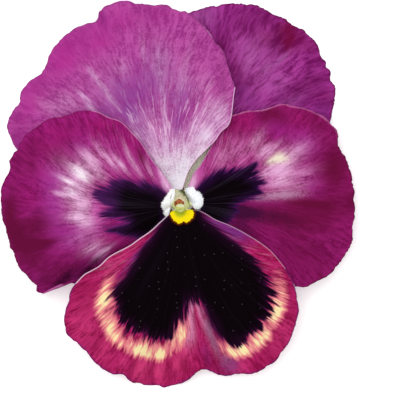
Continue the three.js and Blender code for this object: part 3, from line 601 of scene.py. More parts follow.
def wash(petal, plan, patches):
    """How strongly a wash shows at each plan point, from 0 to 1."""
    total = np.zeros(len(plan))
    for x, y, along, across, strength in patches:
        way = vein_way(petal, np.array([[x, y]]))[0]
        gap = plan - (x, y)
        side = gap @ np.array([-way[1], way[0]])
        total += strength * np.exp(-(((gap @ way) / along) ** 2) - (side / across) ** 2)
    return np.clip(total, 0, 1)


# ---- Shader maths ----------------------------------------------------------------------------


class Flow:
    """What a shader node gives, so that sums can be written as sums."""

    def __init__(self, finish, socket):
        self.finish = finish
        self.socket = socket

    def maths(self, operation, a, b):
        return self.finish.node("ShaderNodeMath", {"operation": operation}, {0: a, 1: b})

    def __add__(self, other):
        return self.maths("ADD", self, other)

    __radd__ = __add__

    def __sub__(self, other):
        return self.maths("SUBTRACT", self, other)

    def __rsub__(self, other):
        return self.maths("SUBTRACT", other, self)

    def __mul__(self, other):
        return self.maths("MULTIPLY", self, other)

    __rmul__ = __mul__

    def between(self, low, high, start=0.0, end=1.0):
        """Eases from start to end as this goes from low to high."""
        settings = {"interpolation_type": "SMOOTHSTEP"}
        values = {"Value": self, "From Min": low, "From Max": high, "To Min": start, "To Max": end}
        return self.finish.node("ShaderNodeMapRange", settings, values)


LIGHT = 1.22                   # how much brighter than its own colour a lit surface shows


def paint(red, green, blue):
    """A colour as a picture shows it, 0 to 255, made linear and set against the light."""
    parts = [c / 255 for c in (red, green, blue)]
    linear = [c / 12.92 if c <= 0.04045 else ((c + 0.055) / 1.055) ** 2.4 for c in parts]
    return tuple(c / LIGHT for c in linear) + (1.0,)


class Finish:
    """A material and the nodes that make it."""

    def __init__(self, name, roughness, **constants):
        self.material = bpy.data.materials.new(name)
        self.material.use_nodes = True
        self.tree = self.material.node_tree
        self.tree.nodes.clear()
        self.surface = self.tree.nodes.new("ShaderNodeBsdfPrincipled")
        output = self.tree.nodes.new("ShaderNodeOutputMaterial")
        self.tree.links.new(self.surface.outputs["BSDF"], output.inputs["Surface"])
        self.surface.inputs["Roughness"].default_value = roughness
        for socket, value in constants.items():
            self.surface.inputs[socket.replace("_", " ")].default_value = value

    def fill(self, socket, value):
        if isinstance(value, Flow):
            self.tree.links.new(value.socket, socket)
        else:
            socket.default_value = value

    def node(self, kind, settings, values, output=0):
        """Adds a node of that kind: its settings first, then what its sockets hold or take."""
        made = self.tree.nodes.new(kind)
        for name, value in settings.items():
            setattr(made, name, value)
        for key, value in values.items():
            self.fill(made.inputs[key], value)
        return Flow(self, made.outputs[output])

    def blend(self, share, first, second):
        """A colour between two, by a share from 0 to 1."""
        settings = {"data_type": "RGBA", "clamp_factor": True}
        return self.node("ShaderNodeMix", settings, {0: share, 6: first, 7: second}, 2)

    def attribute(self, name):
        return self.node("ShaderNodeAttribute", {"attribute_name": name}, {}, "Fac")

    def point(self, x, y, z=0.0):
        return self.node("ShaderNodeCombineXYZ", {}, {0: x, 1: y, 2: z})

    def place(self):
        return self.node("ShaderNodeTexCoord", {}, {}, "Object")

    def along(self, where, axis):
        """How far a place is along the X, Y or Z axis."""
        return self.node("ShaderNodeSeparateXYZ", {}, {0: where}, axis)

    def from_throat(self, axis):
        """Millimetres from the throat along the X, Y or Z axis."""
        return self.along(self.place(), axis) * (1 / MM) - THROAT["XYZ".index(axis)]

    def noise(self, where, scale=1.0, detail=2.0, roughness=0.5):
        """Soft noise spread over the full range from 0 to 1."""
        values = {"Vector": where, "Scale": scale, "Detail": detail, "Roughness": roughness}
        return self.node("ShaderNodeTexNoise", {}, values).between(0.28, 0.72)

    def mottled(self, scale, first, second):
        """Soft patches of two colours."""
        return self.blend(self.noise(self.place(), scale=scale), paint(*first), paint(*second))

    def show(self, colour, height=None, depth=0.05):
        """Puts the colour, and a relief that many millimetres deep, on the surface."""
        self.fill(self.surface.inputs["Base Color"], colour)
        if height is not None:
            values = {"Height": height, "Strength": 1.0, "Distance": depth * MM}
            self.fill(self.surface.inputs["Normal"], self.node("ShaderNodeBump", {}, values))
        return self.material

    def grained(self, colour, scale, depth=0.05):
        """Puts the colour on the surface, with a fine grain."""
        return self.show(colour, self.noise(self.place(), scale=scale), depth)

    def glow(self, colour):
        self.fill(self.surface.inputs["Emission Color"], colour)


def shaded_side(finish):
    """Millimetres from the throat towards its shaded side, the upper right."""
    return finish.from_throat("X") * 0.8 + finish.from_throat("Y") * 0.6


# ---- Petal finishes --------------------------------------------------------------------------

VELVET = {"Sheen_Weight": 0.01, "Sheen_Roughness": 0.5, "Specular_IOR_Level": 0.01}
BLACK = (0.0, 0.0, 0.0, 1.0)
CREAM = paint(255, 238, 178)
BLOOD_ORANGE = paint(238, 134, 142)
# Painted shade in the fine wrinkles of the petals.
CREASE_SHADE = paint(66, 4, 42)
EYE_YELLOW = paint(255, 230, 20)
EYE_GREEN = paint(190, 200, 40)
FRINGE = paint(106, 40, 6)
BEARD_WHITE = paint(255, 255, 255)
BEARD_SHADE = paint(130, 134, 112)
CLAW_GREEN = paint(214, 220, 170)
# Pale green that glows in the throat: painted light.
INNER_GREEN = paint(220, 228, 160)
INK = paint(10, 3, 8)

EVERYWHERE = (-9, -8)          # puts the pale lines on all veins

# First the colours, 0 to 255. The shading goes from dark to light. side: pale lines and hems.
# edge and outer: the band along the outer edge, at its two ends. rim: the petal's thickness.
# halo: the violet round the blotch. The others are those of the washes.
# Then how strong or how large things are. lines: thin pale lines, which set in across the veins of
# "lined" and end over the distances of "fade". streaks: how much of the shading follows the veins.
# crease shade: dark lines, painted shade in fine wrinkles. hems: along the first and the second edge.
# tips: the flames of the blotch.
# nerves: the paler veins in it. haze: the violet inside its edge. tip_haze: the same at its far end.
LOOKS = {
    "upper_right": {
        "dark": (120, 18, 98), "light": (172, 56, 150), "pale": (180, 92, 168), "deep": (104, 16, 80),
        "warm": (112, 8, 54), "violet": (134, 42, 126), "claw": (246, 243, 222),
        "side": (184, 96, 168), "outer": (84, 8, 52), "edge": (84, 8, 52), "rim": (120, 40, 100),
        "lines": 0.7, "lined": EVERYWHERE, "fade": (0.4, 0.8), "streaks": 0.7, "crease_shade": 0.08,
        "hems": (0, 0),
    },
    "side_right": {
        "dark": (122, 14, 78), "light": (160, 32, 116), "pale": (236, 176, 220), "deep": (106, 14, 58),
        "warm": (164, 24, 104), "violet": (158, 36, 132), "rose": (194, 78, 158),
        "mauve": (180, 126, 162), "dark_and_shadow": (66, 14, 54), "glow": (246, 232, 210),
        "side": (226, 150, 204), "outer": (214, 120, 180), "edge": (90, 14, 58),
        "rim": (222, 146, 204), "halo": (60, 18, 78),
        "lines": 0.5, "lined": (0, 0.15), "fade": (0.3, 0.55), "streaks": 0.55, "crease_shade": 0.08,
        "hems": (0.7, 0), "tips": 1.2, "nerves": 0.8, "haze": 0.4,
    },
    "upper_left": {
        "dark": (154, 48, 130), "light": (188, 82, 162), "pale": (222, 178, 218),
        "deep": (140, 34, 118), "warm": (174, 42, 138), "violet": (142, 56, 142),
        "white": (238, 230, 242), "claw": (238, 230, 242), "side": (246, 202, 236),
        "outer": (142, 64, 124), "edge": (142, 64, 124), "rim": (226, 160, 212),
        "lines": 0.65, "lined": EVERYWHERE, "fade": (0.4, 0.8), "streaks": 0.55, "crease_shade": 0.05,
        "hems": (0, 0.8),
    },
    "side_left": {
        "dark": (126, 16, 88), "light": (162, 34, 122), "pale": (238, 186, 226), "deep": (102, 14, 58),
        "warm": (158, 22, 102), "violet": (166, 50, 146), "rose": (194, 76, 162),
        "white": (250, 238, 246), "dark_and_shadow": (52, 8, 38), "side": (232, 150, 206),
        "outer": (112, 20, 76), "edge": (112, 20, 76), "rim": (200, 100, 170), "halo": (76, 28, 90),
        "lines": 0.15, "lined": (0.1, -0.1), "fade": (0.4, 0.8), "streaks": 0.65, "crease_shade": 0.1,
        "hems": (0, 0.55), "tips": 1.6, "nerves": 0.5, "haze": 0.4, "tip_haze": 0.6,
    },
    "lower": {
        "dark": (144, 14, 68), "light": (188, 38, 108), "pale": (222, 140, 184), "deep": (134, 14, 60),
        "violet": (126, 42, 122), "rose": (216, 62, 124), "mauve": (162, 98, 136),
        "side": (246, 220, 242), "outer": (84, 30, 110), "edge": (84, 30, 110),
        "rim": (226, 186, 220), "halo": (64, 14, 60),
        "lines": 0.1, "lined": EVERYWHERE, "fade": (0.4, 0.8), "streaks": 0.65, "crease_shade": 0.14,
        "hems": (0.3, 0.8), "tips": 2.1, "nerves": 0.1, "haze": 0.25,
    },
}


class PetalFinish(Finish):
    """A finish that follows a petal's veins: streaks of two widths along them, and a mottle."""

    def __init__(self, side, name, **constants):
        super().__init__(f"{side}_{name}", **constants)
        self.name = name
        self.look = LOOKS[name]
        place = self.place()
        stray = self.noise(place, scale=200.0) - 0.5
        self.vein = self.attribute("vein") + stray * 0.008
        self.reach = self.attribute("reach")
        fine = self.drawn_out(120, 12, detail=4, roughness=0.65)
        broad = self.drawn_out(38, 6, 5, detail=3, roughness=0.65)
        coarse = self.noise(place, scale=420.0, detail=4, roughness=0.6)
        grain = self.noise(place, scale=1900.0, detail=2, roughness=0.7)
        self.streak = fine * 0.55 + broad * 0.45
        self.mottle = coarse * 0.45 + grain * 0.55

    def drawn_out(self, across, along, layer=0.0, **settings):
        """Noise that is drawn out along the veins."""
        return self.noise(self.point(self.vein * across, self.reach * along, layer), **settings)

    def tone(self, kind):
        return paint(*self.look[kind])

    def washed(self, colour):
        """Lays the washes over the colour; streaks or the mottle break up their borders."""
        for kind in WASHES[self.name]:
            mask = self.attribute(kind)
            if kind in STREAKY:
                torn = (self.streak * 0.65 + self.mottle * 0.35 - 0.5) * mask * (1.2 - mask) * 2.8
            else:
                torn = (self.mottle - 0.5) * mask * (1 - mask) * 3.0
            colour = self.blend(mask + torn, colour, self.tone(kind))
        return colour

    def lined(self, colour):
        """Thin pale lines that run out along the veins and fade before the margin."""
        line = self.drawn_out(70, 8, 21, roughness=0.6).between(0.6, 1.0)
        shown = self.reach.between(0.12, 0.3) * self.reach.between(*self.look["fade"], 1.0, 0.0)
        share = line * shown * self.vein.between(*self.look["lined"]) * self.look["lines"]
        return self.blend(share, colour, self.tone("side"))

    def ringed(self, colour):
        """The ring of light round the lower blotch: pink-orange, and cream where it is strongest."""
        light = self.attribute("ring")
        rays = self.drawn_out(60, 5, 31) * 0.3 + self.streak * 0.7 - 0.5
        broken = light + rays * 1.3 * light.between(0.02, 0.35)
        colour = self.blend(broken.between(0.08, 0.7), colour, BLOOD_ORANGE)
        return self.blend(broken.between(0.62, 1.15), colour, CREAM)

    def blotched(self, colour):
        """The near-black blotch, its violet halo, and the flames that it ends in along the veins."""
        look = self.look
        tips = self.attribute("flare") * look["tips"] + 0.3
        flame = self.drawn_out(85, 8, 3, detail=3) * 0.55 + self.drawn_out(34, 5, 8, detail=1) * 0.45
        edge = self.attribute("blotch") + (flame - 0.5) * 2 * tips
        colour = self.blend(edge.between(-1.3, 0.1), colour, self.tone("halo"))
        nerve = self.drawn_out(50, 1.5, 13, detail=1) - 0.7
        ink = self.blend(nerve * look["nerves"], INK, paint(70, 60, 80))
        cloud = self.mottle * 0.6 + 0.4
        haze = edge.between(0.2, 2.8, 1.0, 0.0) * cloud * look["haze"]
        if "tip_haze" in look:
            tip = self.reach.between(0.31, 0.42) * self.vein.between(-0.08, -0.25)
            haze = haze + tip * cloud * look["tip_haze"]
        ink = self.blend(haze, ink, self.tone("halo"))
        return self.blend(edge.between(-0.4, 0.45), colour, ink)

    def edged(self, colour):
        """The narrow band along the outer edge, partly painted shade, and the pale hems of the other two
        edges, partly painted highlight.
        """
        # A darker band on most petals: partly the margin's own colour, partly painted shade where the
        # margin curves away.
        band = self.attribute("outer_gap").between(0.1, 0.5, 1.0, 0.0)
        edge = self.blend(self.vein.between(0.08, 0.15), self.tone("edge"), self.tone("outer"))
        colour = self.blend(band * (0.3 + self.mottle * 0.4), colour, edge)
        for gap, strength in zip(("first_gap", "second_gap"), self.look["hems"]):
            if strength:
                # Pale hems: partly the edge's own colour, partly painted highlight where the edge catches
                # the light.
                hem = self.attribute(gap).between(0.06, 0.28, 1.0, 0.0)
                colour = self.blend(hem * strength, colour, self.tone("side"))
        return colour

    def specked(self, colour):
        """Pale specks of pollen on the blotch."""
        cell = {"Vector": self.place(), "Scale": 430.0}
        flat = {"voronoi_dimensions": "2D"}
        gap = self.node("ShaderNodeTexVoronoi", flat, cell, "Distance")
        luck = self.along(self.node("ShaderNodeTexVoronoi", flat, cell, "Color"), "X")
        speck = gap.between(0.03, 0.08, 1.0, 0.0) * luck.between(0.55, 1.0)
        share = speck * self.attribute("blotch").between(0, 1) * 0.12
        return self.blend(share, colour, paint(200, 180, 200))

    def eyed(self, colour):
        """The yellow eye, with a ragged orange-brown fringe, and its green middle."""
        edge = self.attribute("eye") + (self.drawn_out(9, 12, 2) - 0.5) * 0.3
        colour = self.blend(edge.between(-0.7, -0.05), colour, FRINGE)
        yellow = self.blend(self.attribute("cup_gap").between(0.9, 2.0), EYE_GREEN, EYE_YELLOW)
        return self.blend(edge.between(-0.12, 0.12), colour, yellow)


def petal_face(name):
    finish = PetalFinish("velvet", name, roughness=0.8, Emission_Strength=0.55, **VELVET)
    share = finish.look["streaks"]
    shade = (finish.mottle * (1 - share) + finish.streak * share).between(0.25, 0.75)
    colour = finish.washed(finish.blend(shade, finish.tone("dark"), finish.tone("light")))
    # Dark lines where the shading noise is lowest: painted shade in fine wrinkles.
    colour = finish.blend(shade.between(0.5, 0.0) * finish.look["crease_shade"], colour, CREASE_SHADE)
    colour = finish.lined(colour)
    if name == "lower":
        colour = finish.ringed(colour)
    if name in BLOTCHES:
        colour = finish.blotched(colour)
    colour = finish.edged(colour)
    if name == "lower":
        colour = finish.eyed(finish.specked(colour))
    if name in BEARDS:
        ragged = finish.attribute("beard") + (finish.streak - 0.5) * 0.7
        colour = finish.blend(ragged.between(-0.12, 0.12), colour, BEARD_WHITE)
    # Deep in the throat the claws glow green: painted light where the throat is in shade.
    claw = finish.attribute("claw_depth").between(0.05, 0.5)
    finish.glow(finish.blend(claw, BLACK, CLAW_GREEN))
    return finish.show(finish.blend(claw, colour, CLAW_GREEN), finish.streak + finish.mottle, 0.03)


def petal_back(name):
    """A petal's back is paler and duller than its face, and greenish near the claw."""
    finish = PetalFinish("back", name, roughness=0.68, Specular_IOR_Level=0.2)
    shade = (finish.streak * 0.6 + finish.mottle * 0.4).between(0.15, 0.85)
    pale = paint(*[mix(c, 205, 0.35) for c in finish.look["light"]])
    dull = paint(*[mix(c, 150, 0.25) for c in finish.look["dark"]])
    near_claw = finish.reach.between(0.08, 0.42, 0.8, 0.0)
    colour = finish.blend(near_claw, finish.blend(shade, dull, pale), paint(196, 190, 150))
    return finish.show(colour, finish.streak, 0.08)


def petal_rim(name):
    look = LOOKS[name]
    finish = Finish(f"rim_{name}", roughness=0.7, Specular_IOR_Level=0.1)
    mottle = finish.noise(finish.place(), scale=900.0)
    return finish.show(finish.blend(mottle * 0.5, paint(*look["rim"]), paint(*look["light"])))


# ---- Making pieces ---------------------------------------------------------------------------

TO_ROW = Matrix.Scale(MM, 4) @ Matrix.Translation(THROAT)


def mesh_of(name, bm):
    mesh = bpy.data.meshes.new(name)
    bm.to_mesh(mesh)
    bm.free()
    return mesh


def linked(name, data):
    made = bpy.data.objects.new(name, data)
    bpy.context.scene.collection.objects.link(made)
    return made


def piece(name, bm, finishes, nodes=()):
    """Makes a piece of the bloom from a bmesh in millimetres from the throat."""
    mesh = mesh_of(name, bm)
    mesh.transform(TO_ROW)
    mesh.shade_smooth()
    for finish in finishes:
        mesh.materials.append(finish)
    made = linked(name, mesh)
    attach(made, "root")
    if nodes:
        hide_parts(*nodes)
    return made


def thicken(made, thickness, back=0, rim=0, offset=0.0):
    """Gives a sheet its thickness; back and rim say how far on their materials are in its list."""
    skin = made.modifiers.new("thickness", "SOLIDIFY")
    skin.thickness = thickness * MM
    skin.offset = offset
    skin.material_offset = back
    skin.material_offset_rim = rim


def shares_of(verts):
    """The shares across and along of the vertices of a grid of size 1."""
    shares = np.array([vert.co[:2] for vert in verts]) + 0.5
    return shares[:, 0], shares[:, 1]


def sheet(columns, rows):
    """A square grid, with the shares across and along of each of its vertices."""
    bm = bmesh.new()
    bmesh.ops.create_grid(bm, x_segments=columns, y_segments=rows, size=0.5)
    return bm, *shares_of(bm.verts)


def move_to(verts, points):
    for vert, point in zip(verts, points):
        vert.co = point


ROUGHLY_UP = (0.12, 0.08, 1.0)  # tilted, because some routes run straight up


def tube(bm, route, radius, sides, rows):
    """A closed tube along a smooth route; radius gives its size at shares of its length."""
    made = bmesh.ops.create_grid(bm, x_segments=sides, y_segments=rows, size=0.5)["verts"]
    around, along = shares_of(made)
    turn = 2 * np.pi * around
    centre = on_curve(route, along)
    ahead = on_curve(route, np.clip(along + 0.01, 0, 1)) - on_curve(route, np.clip(along - 0.01, 0, 1))
    ahead /= np.linalg.norm(ahead, axis=1)[:, None]
    level = np.cross(ROUGHLY_UP, ahead)
    level /= np.linalg.norm(level, axis=1)[:, None]
    ring = np.cos(turn)[:, None] * level + np.sin(turn)[:, None] * np.cross(ahead, level)
    move_to(made, centre + ring * radius(along)[:, None])
    bmesh.ops.remove_doubles(bm, verts=made, dist=1e-4)


def cushion_point(corners, heights, around, down):
    """Points of a cushion whose widest line follows the corners; down is 0 on top, 1 beneath."""
    loop = on_curve(corners + corners[:1], around)
    middle = np.mean(corners, axis=0)
    plan = middle + (loop - middle) * PAD_SHARE * np.sin(np.pi * down)[:, None]
    low, high, half = heights
    ends = [y for _, y in corners]
    level = mix(low, high, (plan[:, 1] - min(ends)) / (max(ends) - min(ends)))
    return np.column_stack([plan, level + half * np.cos(np.pi * down)])


def up(z):
    return Vector((0, 0, z))


def ball(bm, centre, size, turn=Matrix.Identity(3), *, detail, material=0):
    """An ellipsoid of three half-sizes, turned and then placed."""
    made = bmesh.ops.create_uvsphere(bm, u_segments=detail[0], v_segments=detail[1], radius=1)["verts"]
    bmesh.ops.scale(bm, verts=made, vec=size)
    bmesh.ops.transform(bm, verts=made, matrix=Matrix.Translation(centre) @ turn.to_4x4())
    for face in {face for vert in made for face in vert.link_faces}:
        face.material_index = material
    return made


def write_shares(mesh, u, v):
    """Keeps u and v as the piece's own map."""
    corners = np.empty(len(mesh.loops), int)
    mesh.loops.foreach_get("vertex_index", corners)
    layer = mesh.uv_layers.new(name="veins")
    layer.data.foreach_set("uv", np.column_stack([u, v])[corners].ravel())


def write_value(mesh, name, values):
    mesh.attributes.new(name, "FLOAT", "POINT").data.foreach_set("value", values)


# ---- Petals ----------------------------------------------------------------------------------


def petal_points(petal, seed, u, s):
    """Where the vertices of a petal lie, and how far down its claw they are."""
    in_claw = s < CLAW_SHARE
    along = np.where(in_claw, 0, (np.maximum(s - CLAW_SHARE, 0) / (1 - CLAW_SHARE)) ** CROWDING)
    points = blade_point(petal, seed, u, along)
    points[in_claw] = claw_point(petal, seed, u[in_claw], s[in_claw] / CLAW_SHARE)
    return points, np.where(in_claw, 1 - s / CLAW_SHARE, 0)


STEP = 0.25                    # along the veins, to see how a blotch ends
LINE_POINTS = 120
DEEP = 2                       # what counts as deep inside the eye
FAR = 9                        # and as far from every edge


def write_blotch(mesh, name, plan):
    """How far inside its blotch a point is, and how squarely the veins run out of it there."""
    step = STEP * vein_way(PETALS[name], plan)
    behind = depth_in(plan - step, BLOTCHES[name])
    ahead = depth_in(plan + step, BLOTCHES[name])
    write_value(mesh, "blotch", (behind + ahead) / 2)
    write_value(mesh, "flare", np.clip((behind - ahead) / (2 * STEP), 0, 1))


def write_ring(mesh, plan, reach):
    """How strongly the ring of light shows, which fades faster outwards than inwards."""
    ring = traced(RING, LINE_POINTS)
    gap, at = nearest_on(plan, ring[:, :2])
    numbers = np.arange(LINE_POINTS)
    strength = np.interp(at, numbers, ring[:, 2])
    inside = reach * FACE_RADIUS < np.interp(at, numbers, np.hypot(ring[:, 0], ring[:, 1]))
    width = np.where(inside, RING_INSIDE, RING_OUTSIDE)
    write_value(mesh, "ring", strength * np.exp(-((gap / width) ** 2)))


def write_markings(mesh, name, plan, claw):
    """Writes what a petal's finish reads: its place among the veins, its markings and its edges."""
    petal = PETALS[name]
    vein, reach = vein_place(petal, plan)
    write_value(mesh, "vein", vein)
    write_value(mesh, "reach", reach)
    write_value(mesh, "claw_depth", claw)
    for kind, patches in WASHES[name].items():
        write_value(mesh, kind, wash(petal, plan, patches))
    if name in BLOTCHES:
        write_blotch(mesh, name, plan)
    if name in BEARDS:
        write_value(mesh, "beard", depth_in(plan, BEARDS[name]))
    if name == "lower":
        write_ring(mesh, plan, reach)
        write_value(mesh, "eye", np.where(claw > 0, DEEP, depth_in(plan, EYE)))
        write_value(mesh, "cup_gap", np.hypot(plan[:, 0] - CUP[0], plan[:, 1] - CUP[1]))
    for edge in ("first", "second", "outer"):
        gap, _ = nearest_on(plan, traced(edge_line(petal, edge), LINE_POINTS))
        write_value(mesh, f"{edge}_gap", np.where(claw > 0, FAR, gap))


def make_petal(name, seed):
    petal = PETALS[name]
    bm, u, s = sheet(ACROSS, ALONG)
    points, claw = petal_points(petal, seed, u, s)
    move_to(bm.verts, points)
    finishes = [petal_face(name), petal_back(name), petal_rim(name)]
    made = piece(f"{name}_petal", bm, finishes, [f"petal_{name}"])
    write_markings(made.data, name, points[:, :2], claw)
    thicken(made, SKIN, back=1, rim=2)


for number, petal_name in enumerate(PETALS):
    make_petal(petal_name, 100 * (number + 1))

SPUR_ROUTE = [
    (0, -4.6, FLOOR + CLEAR), (0, -4.6, -8), (0, -4.5, -6.6), (0, -4.2, -4), (0, -3.8, -1.6),
]
# Share of the way from its end to the throat, and radius.
SPUR_SIZES = [(0, 1.25), (0.03, 1.5), (0.1, 1.7), (0.3, 1.78), (0.62, 1.62), (1, 1.7)]
SPUR_WALL = 0.3


def make_spur():
    """The nectar spur: a hollow sac behind the lower petal, with a rounded end on a flat spot."""
    finish = Finish("spur_skin", roughness=0.55, Specular_IOR_Level=0.3)
    skin = finish.grained(finish.mottled(500.0, (176, 140, 158), (200, 188, 140)), 2500.0)
    bm = bmesh.new()
    shares, radii = zip(*SPUR_SIZES)
    tube(bm, SPUR_ROUTE, lambda along: np.interp(along, shares, radii), sides=32, rows=24)
    foot = [edge for edge in bm.edges if edge.is_boundary and edge.verts[0].co.z < FLOOR + 0.5]
    bmesh.ops.holes_fill(bm, edges=foot, sides=0)
    spur = piece("nectar_spur", bm, [skin], ["petal_lower"])
    thicken(spur, SPUR_WALL, offset=-1.0)


make_spur()

# ---- Beards ----------------------------------------------------------------------------------
# The pads' heights at their lower and their upper end, and half their thickness.
BEARD_HEIGHTS = {"side_right": (0.9, 0.6, 0.95), "side_left": (0.9, 2.6, 0.95)}
# How strongly the pads glow: painted light.
BEARD_GLOW = {"side_right": 0.13, "side_left": 0.22}
PAD_SHARE = 0.93               # share of its outline that a pad takes up
BEARD_HAIRS = 420
HAIR_LENGTHS = (0.26, 0.42)
HAIR_RADII = (0.12, 0.17)
HAIR_LEAN = 0.35               # how much the hairs lean away from the middle of their pad
HAIR_SWAY = 0.25               # and any way at random


def beard_finish(name):
    # The pads glow: painted light that softens the shade between the hairs.
    glow = {"Emission_Color": (0.92, 0.95, 1.0, 1.0), "Emission_Strength": BEARD_GLOW[name]}
    finish = Finish(f"beard_{name}", roughness=0.6, Specular_IOR_Level=0.1, **glow)
    tint = finish.noise(finish.place(), scale=700.0)
    white = finish.blend(tint, BEARD_WHITE, paint(244, 246, 255))
    upper = finish.from_throat("Y")
    if name == "side_right":
        # Painted shade along the right pad's inner edge.
        painted_shade = shaded_side(finish).between(1.8, 3.4, 1.0, 0.0) * upper.between(-0.5, 1.5)
        white = finish.blend(painted_shade, white, BEARD_SHADE)
    green = upper.between(-3, 1.5, 0.5, 0.0) * tint
    return finish.show(finish.blend(green, white, paint(226, 240, 196)), tint, 0.05)


def make_beard(name, seed):
    """A soft white pad on a side petal's claw, covered in short club-shaped hairs."""
    draw = np.random.default_rng(seed)
    corners = BEARDS[name]
    heights = BEARD_HEIGHTS[name]
    bm = bmesh.new()
    pad = bmesh.ops.create_grid(bm, x_segments=48, y_segments=20, size=0.5)["verts"]
    move_to(pad, cushion_point(corners, heights, *shares_of(pad)))
    bmesh.ops.remove_doubles(bm, verts=bm.verts, dist=1e-3)
    bmesh.ops.recalc_face_normals(bm, faces=bm.faces)
    around = draw.random(BEARD_HAIRS)
    down = np.arccos(1 - draw.random(BEARD_HAIRS)) / np.pi
    middle = Vector((*np.mean(corners, axis=0), 0))
    for spot in cushion_point(corners, heights, around, down):
        out = (Vector((spot[0], spot[1], 0)) - middle) * HAIR_LEAN
        sway = Vector(draw.normal(0, HAIR_SWAY, 3))
        lean = (out + up(1) + sway).normalized()
        length = draw.uniform(*HAIR_LENGTHS)
        thick = draw.uniform(*HAIR_RADII)
        hair = bmesh.ops.create_icosphere(bm, subdivisions=1, radius=1)["verts"]
        bmesh.ops.scale(bm, verts=hair, vec=(thick, thick, length / 2))
        turn = lean.to_track_quat("Z", "Y").to_matrix().to_4x4()
        root = Vector(spot) + lean * length * 0.3
        bmesh.ops.transform(bm, verts=hair, matrix=Matrix.Translation(root) @ turn)
    piece(f"beard_{name}", bm, [beard_finish(name)])


make_beard("side_left", seed=31)
make_beard("side_right", seed=32)

# ---- Pistil and stamens ----------------------------------------------------------------------

OVARY = (0.65, 0.65, 1.3)      # half-sizes
OVARY_HEIGHT = -1.9
STYLE_ROUTE = [
    (-0.3, 1.2, -1.2), (-0.35, 0.9, 0), (-0.4, 0.2, 0.6), (-0.4, -0.5, 1.8), (-0.4, -0.9, 3.2),
]
STYLE_RADII = (0.2, 0.36)
STIGMA_SIZE = (1.3, 1.12, 0.85)  # half-sizes
STIGMA_MOUTH = Vector((0.0, -0.4, 0.9))  # from its middle
MOUTH_DEPTH = 0.4
MOUTH_WIDTH = 0.45
LIP_REACH = 0.16               # how far the stigma juts out below its mouth
LIP_WIDTH = 0.7
STIGMA_HAIRS = 11
STIGMA_HAIR = (0.07, 0.07, 0.45)  # half-sizes


def pistil_finishes():
    skin = Finish("pistil_skin", roughness=0.5, Specular_IOR_Level=0.15)
    green = skin.mottled(900.0, (176, 186, 60), (196, 206, 96))
    pale = skin.mottled(1500.0, (176, 182, 84), (226, 230, 158))
    colour = skin.blend(skin.from_throat("Z").between(2.6, 4.4), green, pale)
    hair = Finish("stigma_hair", roughness=0.6, Specular_IOR_Level=0.1)
    white = hair.mottled(1500.0, (240, 240, 214), (255, 255, 255))
    return [skin.grained(colour, 2500.0), hair.show(white)]


def make_pistil():
    """Ovary, bent style, and the stigma with its mouth and a fan of fine hairs over it."""
    bm = bmesh.new()
    ball(bm, RECEPTACLE + up(OVARY_HEIGHT), OVARY, detail=(20, 12))
    tube(
        bm, STYLE_ROUTE, lambda along: mix(*STYLE_RADII, along) * ease(1 - along, 0, 0.06),
        sides=14, rows=24,
    )
    mouth = STIGMA + STIGMA_MOUTH
    for vert in ball(bm, STIGMA, STIGMA_SIZE, detail=(32, 20)):
        gap = (vert.co - mouth).length
        vert.co.z -= MOUTH_DEPTH * math.exp(-((gap / MOUTH_WIDTH) ** 2))
        vert.co.y -= LIP_REACH * math.exp(-((gap / LIP_WIDTH) ** 2))
    # The hairs start in three staggered rows on the stigma's round top.
    for k in range(STIGMA_HAIRS):
        fan = mix(-1, 1, k / (STIGMA_HAIRS - 1))
        way = Vector((0.35 * fan, -1, -0.25)).normalized()
        centre = STIGMA + Vector((0.85 * fan, 0.5 - 0.12 * (k % 3), 0.74 - 0.28 * fan * fan))
        turn = way.to_track_quat("Z", "Y").to_matrix()
        ball(bm, centre, STIGMA_HAIR, turn, detail=(6, 6), material=1)
    piece("style_and_stigma", bm, pistil_finishes(), ["pistil"])


make_pistil()

ANTHERS = 5
FEET_RING = 1.36               # radius of the circle of their feet round the ovary
FEET_HEIGHT = -3.1
CROWN = Vector((-0.7, 0.0, 0.9))  # the middle of their upper ends
CROWN_RING = 0.95
SAC = (0.37, 0.4)              # half the width and half the depth of a pollen sac
SAC_SHIFT = 0.32               # how far it is to the side of its stamen's middle
SAC_OVERLAP = 0.1              # how far it goes past foot and head
FLAP = (0.74, 0.18)            # half the width and half the depth of the flap over the sacs
FLAP_REACH = 0.75              # how far it goes from head to crown, as a share
FLAP_RISE = 0.55               # how much higher it ends
FLAP_LIFT = 0.06               # how far it lies above the sacs' heads
FLAP_OVERLAP = 0.42            # how far it goes past both its ends


def stamen_finishes():
    # The pollen sacs glow: painted light that lifts them out of the throat's shade.
    glow = {"Emission_Color": (0.84, 0.76, 0.62, 1.0), "Emission_Strength": 0.25}
    sac = Finish("pollen_sac", roughness=0.65, Specular_IOR_Level=0.2, **glow)
    flap = Finish("stamen_tip", roughness=0.65, Specular_IOR_Level=0.2)
    return [
        sac.grained(sac.mottled(1300.0, (216, 210, 168), (246, 238, 212)), 4000.0),
        flap.grained(flap.mottled(1500.0, (138, 58, 28), (206, 120, 66)), 4000.0),
    ]


def standing(way, side):
    """The turn that points a shape's z along way and its x to that side."""
    across = (side - way * side.dot(way)).normalized()
    return Matrix((across, way.cross(across), way)).transposed()


